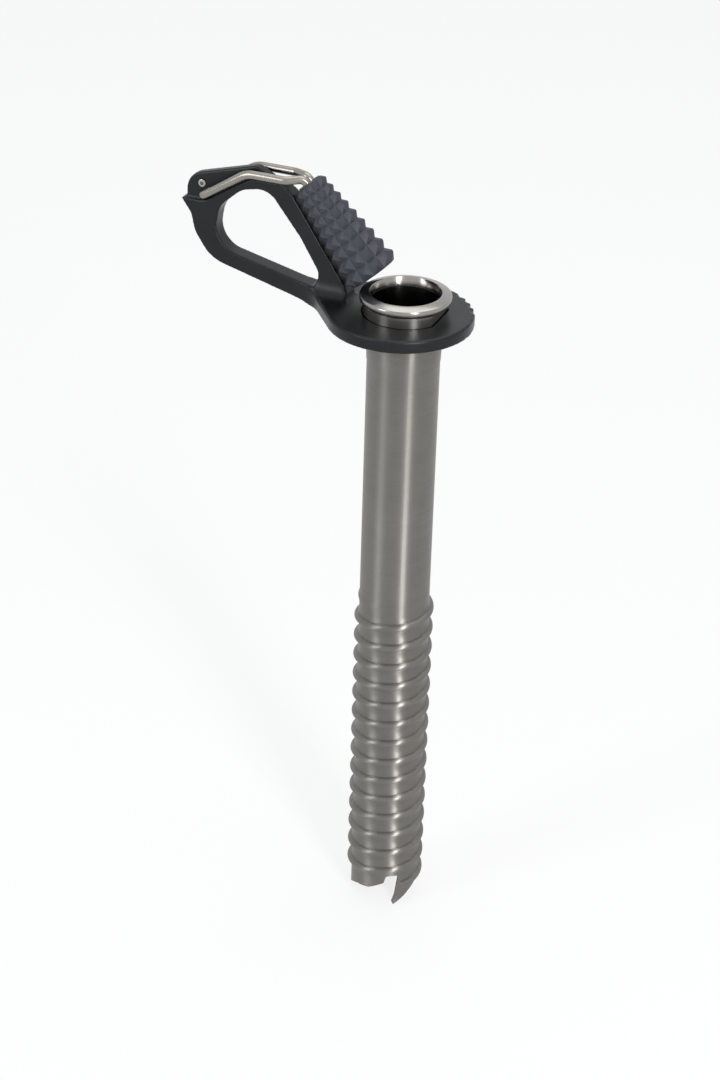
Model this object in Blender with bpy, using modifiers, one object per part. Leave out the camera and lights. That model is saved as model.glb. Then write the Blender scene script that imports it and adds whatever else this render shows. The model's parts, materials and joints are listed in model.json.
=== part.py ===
"""Ice climbing screw: a threaded tube with ground teeth, a forged hanger and a folding wire crank.

Units are metres. The tube's axis is Z with the head up, and the origin lies on it at the hanger's
underside, the face that meets the ice. The hanger's eye points along -X and its front faces -Y.
"""
import math

import bmesh
import bpy
from mathutils import Matrix, Vector

# Clearances
SEAT_GAP = 0.0003        # between two pieces that are fixed together
FIT_GAP = 0.00012        # round a pin or a wire end in its hole
RUN_GAP = 0.0001         # round the hairpin inside the grip's core
KEY_GAP = 0.00025        # round the collar in the hanger's seat
GRIP_GAP = 0.00045       # between the folded grip and the hanger's limb
WIRE_SIDE_GAP = 0.0006   # between a wire leg and the web beside it
RECESS_GAP = 0.00035     # between a wire leg and the edge of its recess
FLUSH = 0.00005          # keeps two blocks that are joined from sharing a plane

# Tube
TUBE_R = 0.0085
TUBE_WALL = 0.0016
TUBE_LENGTH = 0.1603     # from the hanger's underside to the tips
SHOULDER_STEP = 0.00075  # ring that carries the hanger, beyond the tube
SHOULDER_HEIGHT = 0.0007
SHOULDER_TAPER = 0.0013
TUBE_STEPS = 48

# Thread, a round ridge wound right-handed
THREAD_PITCH = 0.00558
THREAD_HEIGHT = 0.0012   # crest above the tube
RIDGE_R = 0.00135        # radius of the ridge's round section
THREAD_START = 0.0712    # below the hanger's underside
THREAD_TIP_GAP = 0.00557 # from the ridge's lower end to the tips
THREAD_FADE_TURNS = 0.7  # over which the ridge rises at its upper end
THREAD_END_ANGLE = -60.0
THREAD_POINTS_PER_TURN = 24

# Cutting teeth, measured along the tube's outer surface from one tip to the next
TOOTH_COUNT = 3
FIRST_TIP_ANGLE = -51.7
TIP_LAND = 0.00018
RELIEF_LENGTH = 0.0049
RELIEF_ANGLE = 32.7
HEEL_LENGTH = 0.0023
HEEL_RISE = 0.00105
FLAT_LENGTH = 0.0038
FLAT_RISE = 0.0006
GULLET_HEIGHT = 0.0090   # above the tips
GULLET_WIDTH = 0.0044
GULLET_R = 0.0015
HOOK_ANGLE = 13.8        # by which each leading edge leans over its gullet

# Head: a collar in the hanger's seat, a spigot below it in the tube and a rim above
COLLAR_STEP = 0.00145    # collar's radius beyond the tube's
FLAT_DEPTH = 0.0014      # cut from the collar's round side
COLLAR_RISE = 0.00305    # above the hanger's base
SPIGOT_WALL = 0.0007
SPIGOT_DEPTH = 0.0015    # below the hanger's underside
RIM_STEP = 0.0021        # rim's radius beyond the tube's
RIM_BAND = 0.00145       # height of the rim's side
RIM_SLOPE = 0.0005       # from the rim's edge up to its mouth
MOUTH_STEP = 0.00135     # mouth's radius beyond the bore's
THROAT_STEP = 0.00105

# Hanger's base plate
BASE_THICKNESS = 0.0030
BASE_MARGIN = 0.0065     # round the rim
BASE_OFFSET = 0.0012     # of the round plate from the tube's axis, towards the eye
SEAT_DEPTH = 0.0020      # for the collar, from the base's top
RELIEF_DEPTH = 0.0002    # underneath, for the tube's shoulder
ROOT_FROM_RIM = 0.0033
ROOT_LENGTH = 0.0093
ROOT_HOLLOW_R = 0.0040
ROOT_BLEND_R = 0.0090    # in plan, from the lower limb's face into the base's side
BASE_EDGE_BEVEL = 0.00045
SERRATION_COUNT = 4
SERRATION_DEPTH = 0.0008
SERRATION_START = 20.0
SERRATION_STEP = 10.0

# Grip
GRIP_ANGLE = -49.25
GRIP_LENGTH = 0.02525
GRIP_SMALL_R = 0.0040    # over the studs
GRIP_LARGE_R = 0.0071
GRIP_FOOT_INSET = 0.00182  # large end's centre from the rim's side
GRIP_FOOT_RISE = 0.00180   # and above the rim's mouth
STUD_SMALL = 0.00075
STUD_LARGE = 0.00120
STUD_ROWS = 9
STUD_COLUMNS = 12
STUD_ROW_GROWTH = 1.052
GRIP_DOME = 0.0002
HAIRPIN_HALF = 0.00105   # from the grip's axis to each leg inside it
LOOP_HALF = 0.00175      # the same at the closed end, which keeps the grip on
CORE_WALL = 0.0006
CORE_PROUD = 0.0002
CHAMBER_DEPTH = 0.0020   # from the grip's large end
CHAMBER_LENGTH = 0.0049

# Wire crank, placed from the grip's small end
WIRE_R = 0.0010
PIVOT_REACH = 0.02584
PIVOT_DROP = 0.00673
LEG_ANGLE = 33.0
LEG_RISE = 0.0007
FAR_LEG_RISE = 0.0002
LEG_CONVERGE = 0.0046
LEG_BEND_R = 0.0060
STUB_BEND_R = 0.0012
MOUTH_BEND_R = 0.0018
STUB_DEPTH = 0.0010
CRANK_OPEN_ANGLE = 150.0
LEDGE_REACH = 0.0052     # from the pivot to the lip that stops the open crank

# Detent pin, placed from the crank's pivot
PIN_R = 0.00095
PIN_BORE_R = 0.00045
PIN_PROUD = 0.00022
PIN_BACK = 0.0006
PIN_RISE = 0.0025

# Hanger's eye
EYE_THICKNESS = 0.0042
EYE_EDGE_BEVEL = 0.0006
WEB_THICKNESS = 0.0024
NOSE_REACH = 0.0046      # beyond the crank's pivot
NOSE_RISE = 0.0091       # above the crank's pivot
LIP_REACH = 0.0011       # of the ledge beyond the nose's edge
RECESS_R = 0.0012
LIMB_WIDTH_LOW = 0.0042  # of the limb beside the grip, near the base
LIMB_WIDTH_MID = 0.0038
LIMB_WIDTH_TOP = 0.0049

# Corners of the eye as shares: from its root towards the nose, up to the nose's top, and the radius
# of the corner against that height
LOWER_LIMB = ((0.03, 0.0, 0.128), (0.152, 0.038, 0.32), (0.806, 0.215, 0.30), (0.929, 0.41, 0.22),
              (0.957, 0.545, 0.10))
NOSE_TOP = ((1.0, 0.84, 0.15), (0.451, 1.0, 0.064), (0.213, 0.866, 0.032))
HOLE_LOWER = ((0.787, 0.332, 0.198), (0.10, 0.166, 0.13), (-0.018, 0.15, 0.032))
HOLE_UPPER = ((0.56, 0.80, 0.192), (0.735, 0.64, 0.192))

# Values that follow from the dimensions above
BORE_R = TUBE_R - TUBE_WALL
SHOULDER_R = TUBE_R + SHOULDER_STEP
SHOULDER_Z = RELIEF_DEPTH - SEAT_GAP
HELIX_R = TUBE_R + THREAD_HEIGHT - RIDGE_R
THREAD_TURNS = (TUBE_LENGTH - THREAD_TIP_GAP - THREAD_START) / THREAD_PITCH
SPIGOT_R = BORE_R + SPIGOT_WALL
COLLAR_R = TUBE_R + COLLAR_STEP
COLLAR_FLAT = COLLAR_R - FLAT_DEPTH
RIM_R = TUBE_R + RIM_STEP
RIM_MOUTH_R = BORE_R + MOUTH_STEP
RIM_THROAT_R = BORE_R + THROAT_STEP
RIM_BOTTOM_Z = BASE_THICKNESS + COLLAR_RISE
RIM_EDGE_Z = RIM_BOTTOM_Z + RIM_BAND
RIM_TOP_Z = RIM_EDGE_Z + RIM_SLOPE
SEAT_Z = BASE_THICKNESS - SEAT_DEPTH
BASE_R = RIM_R + BASE_MARGIN
ROOT_RIGHT_X = -RIM_R - ROOT_FROM_RIM
ROOT_LEFT_X = ROOT_RIGHT_X - ROOT_LENGTH
EYE_MID_Y = EYE_THICKNESS / 2
WEB_FRONT_Y = EYE_MID_Y - WEB_THICKNESS / 2
WEB_BACK_Y = EYE_MID_Y + WEB_THICKNESS / 2
LEG_Y = WEB_FRONT_Y - WIRE_SIDE_GAP - WIRE_R
GRIP_AXIS = Vector((math.cos(math.radians(GRIP_ANGLE)), 0.0, math.sin(math.radians(GRIP_ANGLE))))
GRIP_FOOT = Vector((GRIP_FOOT_INSET - RIM_R, EYE_MID_Y, RIM_TOP_Z + GRIP_FOOT_RISE))
GRIP_MOUTH = GRIP_FOOT - GRIP_AXIS * GRIP_LENGTH
PIVOT = GRIP_MOUTH - Vector((PIVOT_REACH, 0.0, PIVOT_DROP))
LEG_TOP_Z = GRIP_MOUTH.z + LEG_RISE
LEG_CONVERGE_X = GRIP_MOUTH.x - LEG_CONVERGE
OPEN_SLOPE = math.tan(math.radians(180.0 - LEG_ANGLE - CRANK_OPEN_ANGLE))
OPEN_HALF = WIRE_R / math.cos(math.atan(OPEN_SLOPE))
LEDGE_Z = PIVOT.z + LEDGE_REACH * OPEN_SLOPE - OPEN_HALF - SEAT_GAP
PIN_SPOT = PIVOT + Vector((-PIN_BACK, 0.0, PIN_RISE))
NOSE_X = PIVOT.x - NOSE_REACH
NOSE_TOP_Z = PIVOT.z + NOSE_RISE
EYE_LENGTH = ROOT_LEFT_X - NOSE_X
CORE_BORE_R = HAIRPIN_HALF + WIRE_R + RUN_GAP
CORE_R = CORE_BORE_R + CORE_WALL
CHAMBER_R = LOOP_HALF + WIRE_R + 2 * RUN_GAP
CHAMBER_WALL_R = CHAMBER_R + CORE_WALL
CHAMBER_END = GRIP_LENGTH - CHAMBER_DEPTH
CHAMBER_START = CHAMBER_END - CHAMBER_LENGTH
LOOP_END = CHAMBER_END - LOOP_HALF - WIRE_R - 2 * RUN_GAP


def clear_scene():
    """Remove every object, so that the file starts empty."""
    for old in list(bpy.data.objects):
        bpy.data.objects.remove(old, do_unlink=True)


def new_collection(name):
    collection = bpy.data.collections.new(name)
    bpy.context.scene.collection.children.link(collection)
    return collection


def material(name, colour, roughness, metallic):
    made = bpy.data.materials.new(name)
    made.use_nodes = True
    shader = made.node_tree.nodes["Principled BSDF"]
    shader.inputs["Base Color"].default_value = (*colour, 1.0)
    shader.inputs["Roughness"].default_value = roughness
    shader.inputs["Metallic"].default_value = metallic
    return made


def new_object(name, mesh, collection):
    made = bpy.data.objects.new(name, mesh)
    collection.objects.link(made)
    return made


def evaluated_mesh(source):
    """The mesh of an object with its modifiers or its curve bevel applied."""
    graph = bpy.context.evaluated_depsgraph_get()
    return bpy.data.meshes.new_from_object(source.evaluated_get(graph), depsgraph=graph)


def apply_modifiers(target):
    """Replace an object's mesh by its evaluated one."""
    bpy.context.view_layer.update()
    mesh = evaluated_mesh(target)
    target.modifiers.clear()
    target.data = mesh
    return target


def curve_to_mesh(curve_object, name, collection):
    """Turn a curve object into a welded mesh object in the same place."""
    bpy.context.view_layer.update()
    mesh = evaluated_mesh(curve_object)
    made = new_object(name, mesh, collection)
    made.matrix_world = curve_object.matrix_world
    bpy.data.objects.remove(curve_object, do_unlink=True)
    weld = bmesh.new()
    weld.from_mesh(mesh)
    bmesh.ops.remove_doubles(weld, verts=weld.verts, dist=1e-6)
    weld.to_mesh(mesh)
    weld.free()
    return made


def set_material(target, finish):
    target.data.materials.clear()
    target.data.materials.append(finish)


def shade(target, angle=35.0):
    target.data.shade_smooth()
    target.data.set_sharp_from_angle(angle=math.radians(angle))


def set_origin(target, origin, rotation=None):
    """Move an object's origin to a point, and its axes to a rotation, with its surface left alone."""
    place = Matrix.Translation(origin)
    if rotation is not None:
        place = place @ rotation.to_4x4()
    target.data.transform(place.inverted() @ target.matrix_world)
    target.matrix_world = place


def turned(name, profile, steps, collection):
    """Turn a closed profile of (radius, height) points about Z."""
    mesh = bpy.data.meshes.new(name)
    count = len(profile)
    mesh.from_pydata([(radius, 0.0, height) for radius, height in profile],
                     [(n, (n + 1) % count) for n in range(count)], [])
    made = new_object(name, mesh, collection)
    screw = made.modifiers.new("turn", "SCREW")
    screw.steps = steps
    screw.render_steps = steps
    screw.use_merge_vertices = True
    screw.merge_threshold = 1e-6
    return apply_modifiers(made)


def outline_plate(name, outlines, thickness, collection, rounding=0.0, segments=1):
    """Extrude flat closed outlines, the first one solid and the others holes, centred on z = 0."""
    curve = bpy.data.curves.new(name, "CURVE")
    curve.dimensions = "2D"
    curve.fill_mode = "BOTH"
    curve.extrude = thickness / 2 - rounding
    curve.bevel_depth = rounding
    curve.bevel_resolution = segments - 1
    curve.offset = -rounding
    for outline in outlines:
        spline = curve.splines.new("POLY")
        spline.points.add(len(outline) - 1)
        for point, (x, y) in zip(spline.points, outline):
            point.co = (x, y, 0.0, 1.0)
        spline.use_cyclic_u = True
    return curve_to_mesh(new_object(name + "_outline", curve, collection), name, collection)


def upright_plate(name, outlines, front_y, back_y, collection, rounding=0.0, segments=1):
    """Extrude outlines drawn in the XZ plane from one Y to another."""
    made = outline_plate(name, outlines, back_y - front_y, collection, rounding, segments)
    turn = Matrix.Rotation(math.radians(90.0), 4, "X")
    made.data.transform(Matrix.Translation((0.0, (front_y + back_y) / 2, 0.0)) @ turn)
    return made


def level_plate(name, outlines, bottom_z, top_z, collection, rounding=0.0, segments=1):
    """Extrude outlines drawn in the XY plane from one Z to another."""
    made = outline_plate(name, outlines, top_z - bottom_z, collection, rounding, segments)
    made.data.transform(Matrix.Translation((0.0, 0.0, (bottom_z + top_z) / 2)))
    return made


def boolean(target, tool, operation):
    """Cut or join a tool, and keep it as a hidden wire guide."""
    step = target.modifiers.new(operation.lower(), "BOOLEAN")
    step.operation = operation
    step.object = tool
    apply_modifiers(target)
    tool.hide_render = True
    tool.display_type = "WIRE"
    return target


def rod(name, radius, start, end, collection, sides=16):
    """A round bar between two points."""
    bpy.ops.mesh.primitive_cylinder_add(vertices=sides, radius=radius, depth=(end - start).length)
    made = bpy.context.object
    made.name = name
    for owner in list(made.users_collection):
        owner.objects.unlink(made)
    collection.objects.link(made)
    turn = (end - start).to_track_quat("Z", "Y").to_matrix().to_4x4()
    made.data.transform(Matrix.Translation((start + end) / 2) @ turn)
    return made


def round_corners(points, radii, segments=4):
    """Replace each inner corner of a 3-D route by an arc of the given radius."""
    route = [points[0]]
    for before, corner, after, radius in zip(points, points[1:], points[2:], radii):
        back = (before - corner).normalized()
        ahead = (after - corner).normalized()
        half = back.angle(ahead) / 2
        reach = radius / math.tan(half)
        centre = corner + (back + ahead).normalized() * radius / math.sin(half)
        first = corner + back * reach - centre
        last = corner + ahead * reach - centre
        sweep = first.angle(last)
        axis = first.cross(last).normalized()
        for n in range(segments + 1):
            turn = Matrix.Rotation(sweep * n / segments, 3, axis)
            route.append(centre + turn @ first)
    route.append(points[-1])
    return route


def round_outline(corners, segments=5):
    """A closed flat outline from (x, y, radius) corners, each rounded by an arc."""
    count = len(corners)
    points = [Vector((x, y, 0.0)) for x, y, _ in corners]
    outline = []
    for n in range(count):
        radius = corners[n][2]
        if radius == 0.0:
            outline.append((points[n].x, points[n].y))
            continue
        turn = round_corners([points[n - 1], points[n], points[(n + 1) % count]], [radius], segments)
        outline += [(point.x, point.y) for point in turn[1:-1]]
    return outline


def tooth_outline():
    """The gap between two tips, as (distance round the tube, height above the tips) points."""
    span = 2 * math.pi * TUBE_R / TOOTH_COUNT
    relief = (TIP_LAND + RELIEF_LENGTH, RELIEF_LENGTH * math.tan(math.radians(RELIEF_ANGLE)))
    heel = (relief[0] + HEEL_LENGTH, relief[1] + HEEL_RISE)
    flat = (heel[0] + FLAT_LENGTH, heel[1] + FLAT_RISE)
    lean = math.tan(math.radians(HOOK_ANGLE))
    right = span + (GULLET_HEIGHT - GULLET_R) * lean
    left = right - GULLET_WIDTH
    corners = [
        (TIP_LAND, -RELIEF_LENGTH, 0.0),
        (TIP_LAND, 0.0, 0.0),
        (*relief, RELIEF_LENGTH / 4),
        (*heel, HEEL_LENGTH / 2),
        (*flat, GULLET_R),
        (left, (flat[1] + GULLET_HEIGHT) / 2, GULLET_R / 2),
        (left + GULLET_R / 3, GULLET_HEIGHT, GULLET_R / 2),
        (right + GULLET_R * lean, GULLET_HEIGHT, GULLET_R),
        (span, 0.0, 0.0),
        (span, -RELIEF_LENGTH, 0.0),
    ]
    return round_outline(corners, 3)


def tooth_cutter(index, collection):
    """Wrap the gap's outline round the tube as a solid that is cut away."""
    inner = BORE_R * 0.7
    outer = TUBE_R * 1.4
    made = outline_plate("tooth_gap_%d" % index, [tooth_outline()], outer - inner, collection)
    mesh = bmesh.new()
    mesh.from_mesh(made.data)
    span = 2 * math.pi * TUBE_R / TOOTH_COUNT
    slices = 14
    for n in range(1, slices):
        everything = mesh.verts[:] + mesh.edges[:] + mesh.faces[:]
        bmesh.ops.bisect_plane(mesh, geom=everything, dist=1e-7,
                               plane_co=(span * n / slices, 0.0, 0.0), plane_no=(1.0, 0.0, 0.0))
    start = math.radians(FIRST_TIP_ANGLE + 360.0 * index / TOOTH_COUNT)
    for vert in mesh.verts:
        angle = start + vert.co.x / TUBE_R
        radius = (inner + outer) / 2 + vert.co.z
        height = vert.co.y - TUBE_LENGTH
        vert.co = (radius * math.cos(angle), radius * math.sin(angle), height)
    bmesh.ops.recalc_face_normals(mesh, faces=mesh.faces)
    mesh.to_mesh(made.data)
    mesh.free()
    return made


def thread_ridge(collection):
    """The ridge as a wire along a helix, which sinks into the tube's wall at its upper end."""
    curve = bpy.data.curves.new("thread_ridge", "CURVE")
    curve.dimensions = "3D"
    curve.bevel_depth = RIDGE_R
    curve.bevel_resolution = 1
    curve.use_fill_caps = True
    count = round(THREAD_TURNS * THREAD_POINTS_PER_TURN)
    spline = curve.splines.new("POLY")
    spline.points.add(count)
    sunk = (TUBE_R - BORE_R) / 4 / RIDGE_R
    bottom_z = -THREAD_START - THREAD_TURNS * THREAD_PITCH
    for n, point in enumerate(spline.points):
        turns = THREAD_TURNS * n / count
        angle = math.radians(THREAD_END_ANGLE) + 2 * math.pi * turns
        left = THREAD_TURNS - turns
        rise = min(1.0, left / THREAD_FADE_TURNS)
        swell = rise * rise * (3 - 2 * rise)
        radius = HELIX_R - (1 - swell) * (TUBE_R - BORE_R) / 4
        height = bottom_z + turns * THREAD_PITCH
        point.co = (radius * math.cos(angle), radius * math.sin(angle), height, 1.0)
        point.radius = sunk + (1 - sunk) * swell
    return curve_to_mesh(new_object("thread_ridge_wire", curve, collection), "thread_ridge", collection)


def make_screw_tube(parts, cutters):
    """Tube with a shoulder, a socket for the head, the thread and three ground teeth."""
    socket_r = SPIGOT_R + SEAT_GAP
    profile = [
        (SHOULDER_R, SHOULDER_Z),
        (SHOULDER_R, SHOULDER_Z - SHOULDER_HEIGHT),
        (TUBE_R, SHOULDER_Z - SHOULDER_HEIGHT - SHOULDER_TAPER),
        (TUBE_R, -TUBE_LENGTH),
        (BORE_R, -TUBE_LENGTH),
        (BORE_R, -SPIGOT_DEPTH - SEAT_GAP),
        (socket_r, -SPIGOT_DEPTH - SEAT_GAP),
        (socket_r, SHOULDER_Z),
    ]
    tube = turned("screw_tube", profile, TUBE_STEPS, parts)
    boolean(tube, thread_ridge(cutters), "UNION")
    for index in range(TOOTH_COUNT):
        boolean(tube, tooth_cutter(index, cutters), "DIFFERENCE")
    set_material(tube, material("satin_steel", (0.46, 0.45, 0.43), 0.28, 1.0))
    shade(tube, 40.0)
    return tube


def make_drive_collar(parts, cutters):
    """Neck with two flats, one of them keyed to the hanger, and a spigot that sits in the tube."""
    top = RIM_BOTTOM_Z - SEAT_GAP
    foot = SEAT_Z + SEAT_GAP
    profile = [
        (COLLAR_R, top),
        (COLLAR_R, foot),
        (SPIGOT_R, foot),
        (SPIGOT_R, -SPIGOT_DEPTH),
        (BORE_R, -SPIGOT_DEPTH),
        (BORE_R, foot / 2),
        (RIM_THROAT_R, top),
    ]
    collar = turned("drive_collar", profile, TUBE_STEPS, parts)
    for side in (-1, 1):
        outline = [(side * x, y) for x, y in ((COLLAR_FLAT, -COLLAR_R), (2 * COLLAR_R, -COLLAR_R),
                                              (2 * COLLAR_R, COLLAR_R), (COLLAR_FLAT, COLLAR_R))]
        flat = level_plate("collar_flat_%d" % side, [outline], foot / 2, 2 * top, cutters)
        boolean(collar, flat, "DIFFERENCE")
    set_material(collar, material("satin_steel_head", (0.52, 0.51, 0.49), 0.25, 1.0))
    shade(collar)
    return collar


def make_head_ring(parts):
    """Rim that keeps the hanger on, with a sloping top and an opening for the ice core."""
    edge = RIM_SLOPE / 2
    profile = [
        (RIM_MOUTH_R, RIM_TOP_Z),
        (RIM_R - edge, RIM_EDGE_Z),
        (RIM_R, RIM_EDGE_Z - edge),
        (RIM_R, RIM_BOTTOM_Z),
        (RIM_THROAT_R, RIM_BOTTOM_Z),
    ]
    ring = turned("head_ring", profile, TUBE_STEPS, parts)
    set_material(ring, material("bright_steel", (0.60, 0.59, 0.57), 0.18, 1.0))
    shade(ring)
    return ring


def tangent_angle(x, y):
    """The angle on the base's circle where a line from (x, y) touches it, on the far side from +X."""
    away = Vector((x + BASE_OFFSET, y))
    spread = math.acos(BASE_R / away.length)
    return math.atan2(away.y, away.x), spread


def base_outline(inset=0.0):
    """Round plate with a serrated edge behind the head, its front flank curving into the lower limb."""
    reach = BASE_R - inset
    front = FLUSH + inset
    back = EYE_THICKNESS - front
    facing, spread = tangent_angle(ROOT_LEFT_X, 0.0)
    start = (facing + spread) % (2 * math.pi)
    facing, spread = tangent_angle(ROOT_LEFT_X, EYE_THICKNESS)
    end = (facing - spread) % (2 * math.pi) + 2 * math.pi
    left = ROOT_LEFT_X - ROOT_BLEND_R * 0.62
    touch = (reach * math.cos(start) - BASE_OFFSET, reach * math.sin(start))
    outline = round_outline([(left, back, 0.0), (left, front, 0.0), (ROOT_LEFT_X, front, ROOT_BLEND_R),
                             (*touch, 0.0)], 6)
    serrated_from = math.radians(360.0 + SERRATION_START)
    serrated_to = serrated_from + math.radians(SERRATION_STEP) * SERRATION_COUNT

    def add(angle, radius):
        outline.append((radius * math.cos(angle) - BASE_OFFSET, radius * math.sin(angle)))

    front_steps = 22
    for n in range(1, front_steps):
        add(start + (serrated_from - start) * n / front_steps, reach)
    for n in range(SERRATION_COUNT):
        tooth = serrated_from + math.radians(SERRATION_STEP) * n
        add(tooth, reach)
        add(tooth + math.radians(SERRATION_STEP) * 0.4, reach - SERRATION_DEPTH)
    rear_steps = 6
    for n in range(rear_steps + 1):
        add(serrated_to + (end - serrated_to) * n / rear_steps, reach)
    return outline


def beside_grip(share, inside=0.0):
    """A point on the limb's edge beside the folded grip, or inside it, at a share of the grip's length."""
    radius = GRIP_SMALL_R + (GRIP_LARGE_R - GRIP_SMALL_R) * share + GRIP_GAP + inside
    normal = Vector((GRIP_AXIS.z, 0.0, -GRIP_AXIS.x))
    point = GRIP_MOUTH + GRIP_AXIS * GRIP_LENGTH * share + normal * radius
    return point.x, point.z


def eye_corners(shares):
    """Corners of the eye in the XZ plane from their shares of its length and height."""
    return [(ROOT_LEFT_X - EYE_LENGTH * along, NOSE_TOP_Z * up, NOSE_TOP_Z * radius)
            for along, up, radius in shares]


def eye_outline():
    """The eye's outer outline: lower limb, nose, top and the limb beside the grip."""
    corners = [(ROOT_RIGHT_X, 0.0, 0.0)]
    corners += eye_corners(LOWER_LIMB)
    corners += [(NOSE_X - LIP_REACH, LEDGE_Z, 0.0), (NOSE_X, LEDGE_Z, 0.0)]
    corners += eye_corners(NOSE_TOP)
    corners += [(*beside_grip(0.0), 0.0), (*beside_grip(1.0), BASE_THICKNESS)]
    corners += [(ROOT_RIGHT_X, BASE_THICKNESS, 0.0)]
    return round_outline(corners, 5)


def hole_outline():
    """The carabiner hole, with its right side parallel to the limb's edge beside the grip."""
    corners = eye_corners(HOLE_LOWER)
    corners += [(*beside_grip(0.72, LIMB_WIDTH_LOW), BASE_THICKNESS)]
    corners += [(*beside_grip(0.35, LIMB_WIDTH_MID), 4 * LIMB_WIDTH_MID)]
    corners += [(*beside_grip(-0.17, LIMB_WIDTH_TOP), LIMB_WIDTH_TOP)]
    corners += eye_corners(HOLE_UPPER)
    return round_outline(corners, 6)


def recess_outline():
    """The side of the nose that is thinned for the wire, bounded by the ledge and the folded leg."""
    reach = WIRE_R + RECESS_GAP
    slope = math.radians(LEG_ANGLE)
    foot_x = PIVOT.x + reach * math.sin(slope)
    foot_z = PIVOT.z - reach * math.cos(slope)
    floor_z = LEG_TOP_Z - reach
    knee_x = foot_x + (floor_z - foot_z) / math.tan(slope)
    corners = [
        (NOSE_X - EYE_THICKNESS, LEDGE_Z, 0.0),
        (PIVOT.x - WIRE_R, LEDGE_Z, WIRE_R / 2),
        (foot_x, foot_z, RECESS_R),
        (knee_x, floor_z, LEG_BEND_R + reach),
        (GRIP_MOUTH.x, floor_z, 0.0),
        (GRIP_MOUTH.x, NOSE_TOP_Z + EYE_THICKNESS, 0.0),
        (NOSE_X - EYE_THICKNESS, NOSE_TOP_Z + EYE_THICKNESS, 0.0),
    ]
    return round_outline(corners, 4)


def make_root(cutters):
    """The bend between base and eye: a hollow fillet that ends in the base's side and the limb's edge."""
    top = BASE_THICKNESS + ROOT_HOLLOW_R
    far = BASE_R + EYE_LENGTH
    root = level_plate("root_block", [base_outline(FLUSH)], BASE_THICKNESS / 2, top, cutters)
    room = [(-far, -ROOT_HOLLOW_R), (ROOT_RIGHT_X, -ROOT_HOLLOW_R), (ROOT_RIGHT_X, EYE_EDGE_BEVEL / 2),
            (-far, EYE_EDGE_BEVEL / 2)]
    boolean(root, level_plate("root_room", [room], 0.0, 2 * top, cutters), "INTERSECT")
    left = Vector((-far, -ROOT_HOLLOW_R, top))
    right = Vector((far, -ROOT_HOLLOW_R, top))
    boolean(root, rod("root_hollow", ROOT_HOLLOW_R, left, right, cutters, 40), "DIFFERENCE")
    boolean(root, upright_plate("root_hole", [hole_outline()], -BASE_R, BASE_R, cutters), "DIFFERENCE")
    beside = [beside_grip(0.0, FLUSH), beside_grip(1.0, FLUSH), (ROOT_RIGHT_X - FLUSH, BASE_THICKNESS),
              (far, BASE_THICKNESS), (far, GRIP_MOUTH.z)]
    return boolean(root, upright_plate("root_side", [beside], -BASE_R, BASE_R, cutters), "DIFFERENCE")


def underside_outline():
    """What lies under the lower limb, so that the base's underside rises with it."""
    corners = [(x, z) for x, z, radius in eye_corners(LOWER_LIMB[:3])]
    return ([(corners[0][0], -BASE_THICKNESS), corners[0]] + [(x, z + FLUSH) for x, z in corners[1:]]
            + [(corners[-1][0], -BASE_THICKNESS)])


def make_hanger(parts, cutters):
    """Base plate, upright eye and the bend between them, with the collar's seat and the pivot holes."""
    base = level_plate("hanger", [base_outline()], 0.0, BASE_THICKNESS, parts, BASE_EDGE_BEVEL)
    under = upright_plate("underside", [underside_outline()], -BASE_R, BASE_R, cutters)
    boolean(base, under, "DIFFERENCE")
    eye = upright_plate("eye_plate", [eye_outline(), hole_outline()], 0.0, EYE_THICKNESS, cutters,
                        EYE_EDGE_BEVEL, 2)
    for side, near, far in (("front", -EYE_THICKNESS, WEB_FRONT_Y),
                            ("back", WEB_BACK_Y, 2 * EYE_THICKNESS)):
        recess = upright_plate("recess_" + side, [recess_outline()], near, far, cutters)
        boolean(eye, recess, "DIFFERENCE")
    boolean(base, make_root(cutters), "UNION")
    boolean(base, eye, "UNION")

    seat_r = COLLAR_R + KEY_GAP
    spread = math.acos((COLLAR_FLAT + SEAT_GAP) / seat_r)
    steps = 40
    seat = []
    for n in range(steps + 1):
        angle = spread + 2 * (math.pi - spread) * n / steps
        seat.append((seat_r * math.cos(angle), seat_r * math.sin(angle)))
    boolean(base, level_plate("collar_seat", [seat], SEAT_Z, 2 * BASE_THICKNESS, cutters), "DIFFERENCE")
    for name, radius, top in (("spigot_hole", SPIGOT_R + SEAT_GAP, BASE_THICKNESS),
                              ("shoulder_relief", SHOULDER_R + SEAT_GAP, RELIEF_DEPTH)):
        start = Vector((0.0, 0.0, -BASE_THICKNESS))
        hole = rod(name, radius, start, Vector((0.0, 0.0, top)), cutters, TUBE_STEPS)
        boolean(base, hole, "DIFFERENCE")

    through = Vector((0.0, EYE_THICKNESS, 0.0))
    for name, radius, spot in (("pivot_hole", WIRE_R + FIT_GAP, PIVOT),
                               ("pin_hole", PIN_R + FIT_GAP, PIN_SPOT)):
        boolean(base, rod(name, radius, spot - through, spot + through, cutters), "DIFFERENCE")
    set_material(base, material("dark_anodised", (0.050, 0.052, 0.055), 0.38, 0.85))
    shade(base)
    return base


def make_detent_pin(parts):
    """Hollow pin through the web beside the pivot."""
    half = WEB_THICKNESS / 2 + PIN_PROUD
    edge = PIN_PROUD / 2
    profile = [
        (PIN_BORE_R, half),
        (PIN_R - edge, half),
        (PIN_R, half - edge),
        (PIN_R, edge - half),
        (PIN_R - edge, -half),
        (PIN_BORE_R, -half),
    ]
    pin = turned("detent_pin", profile, 16, parts)
    pin.location = PIN_SPOT
    pin.rotation_euler = (math.radians(90.0), 0.0, 0.0)
    set_material(pin, material("pin_steel", (0.62, 0.61, 0.60), 0.25, 1.0))
    shade(pin)
    return pin


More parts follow.
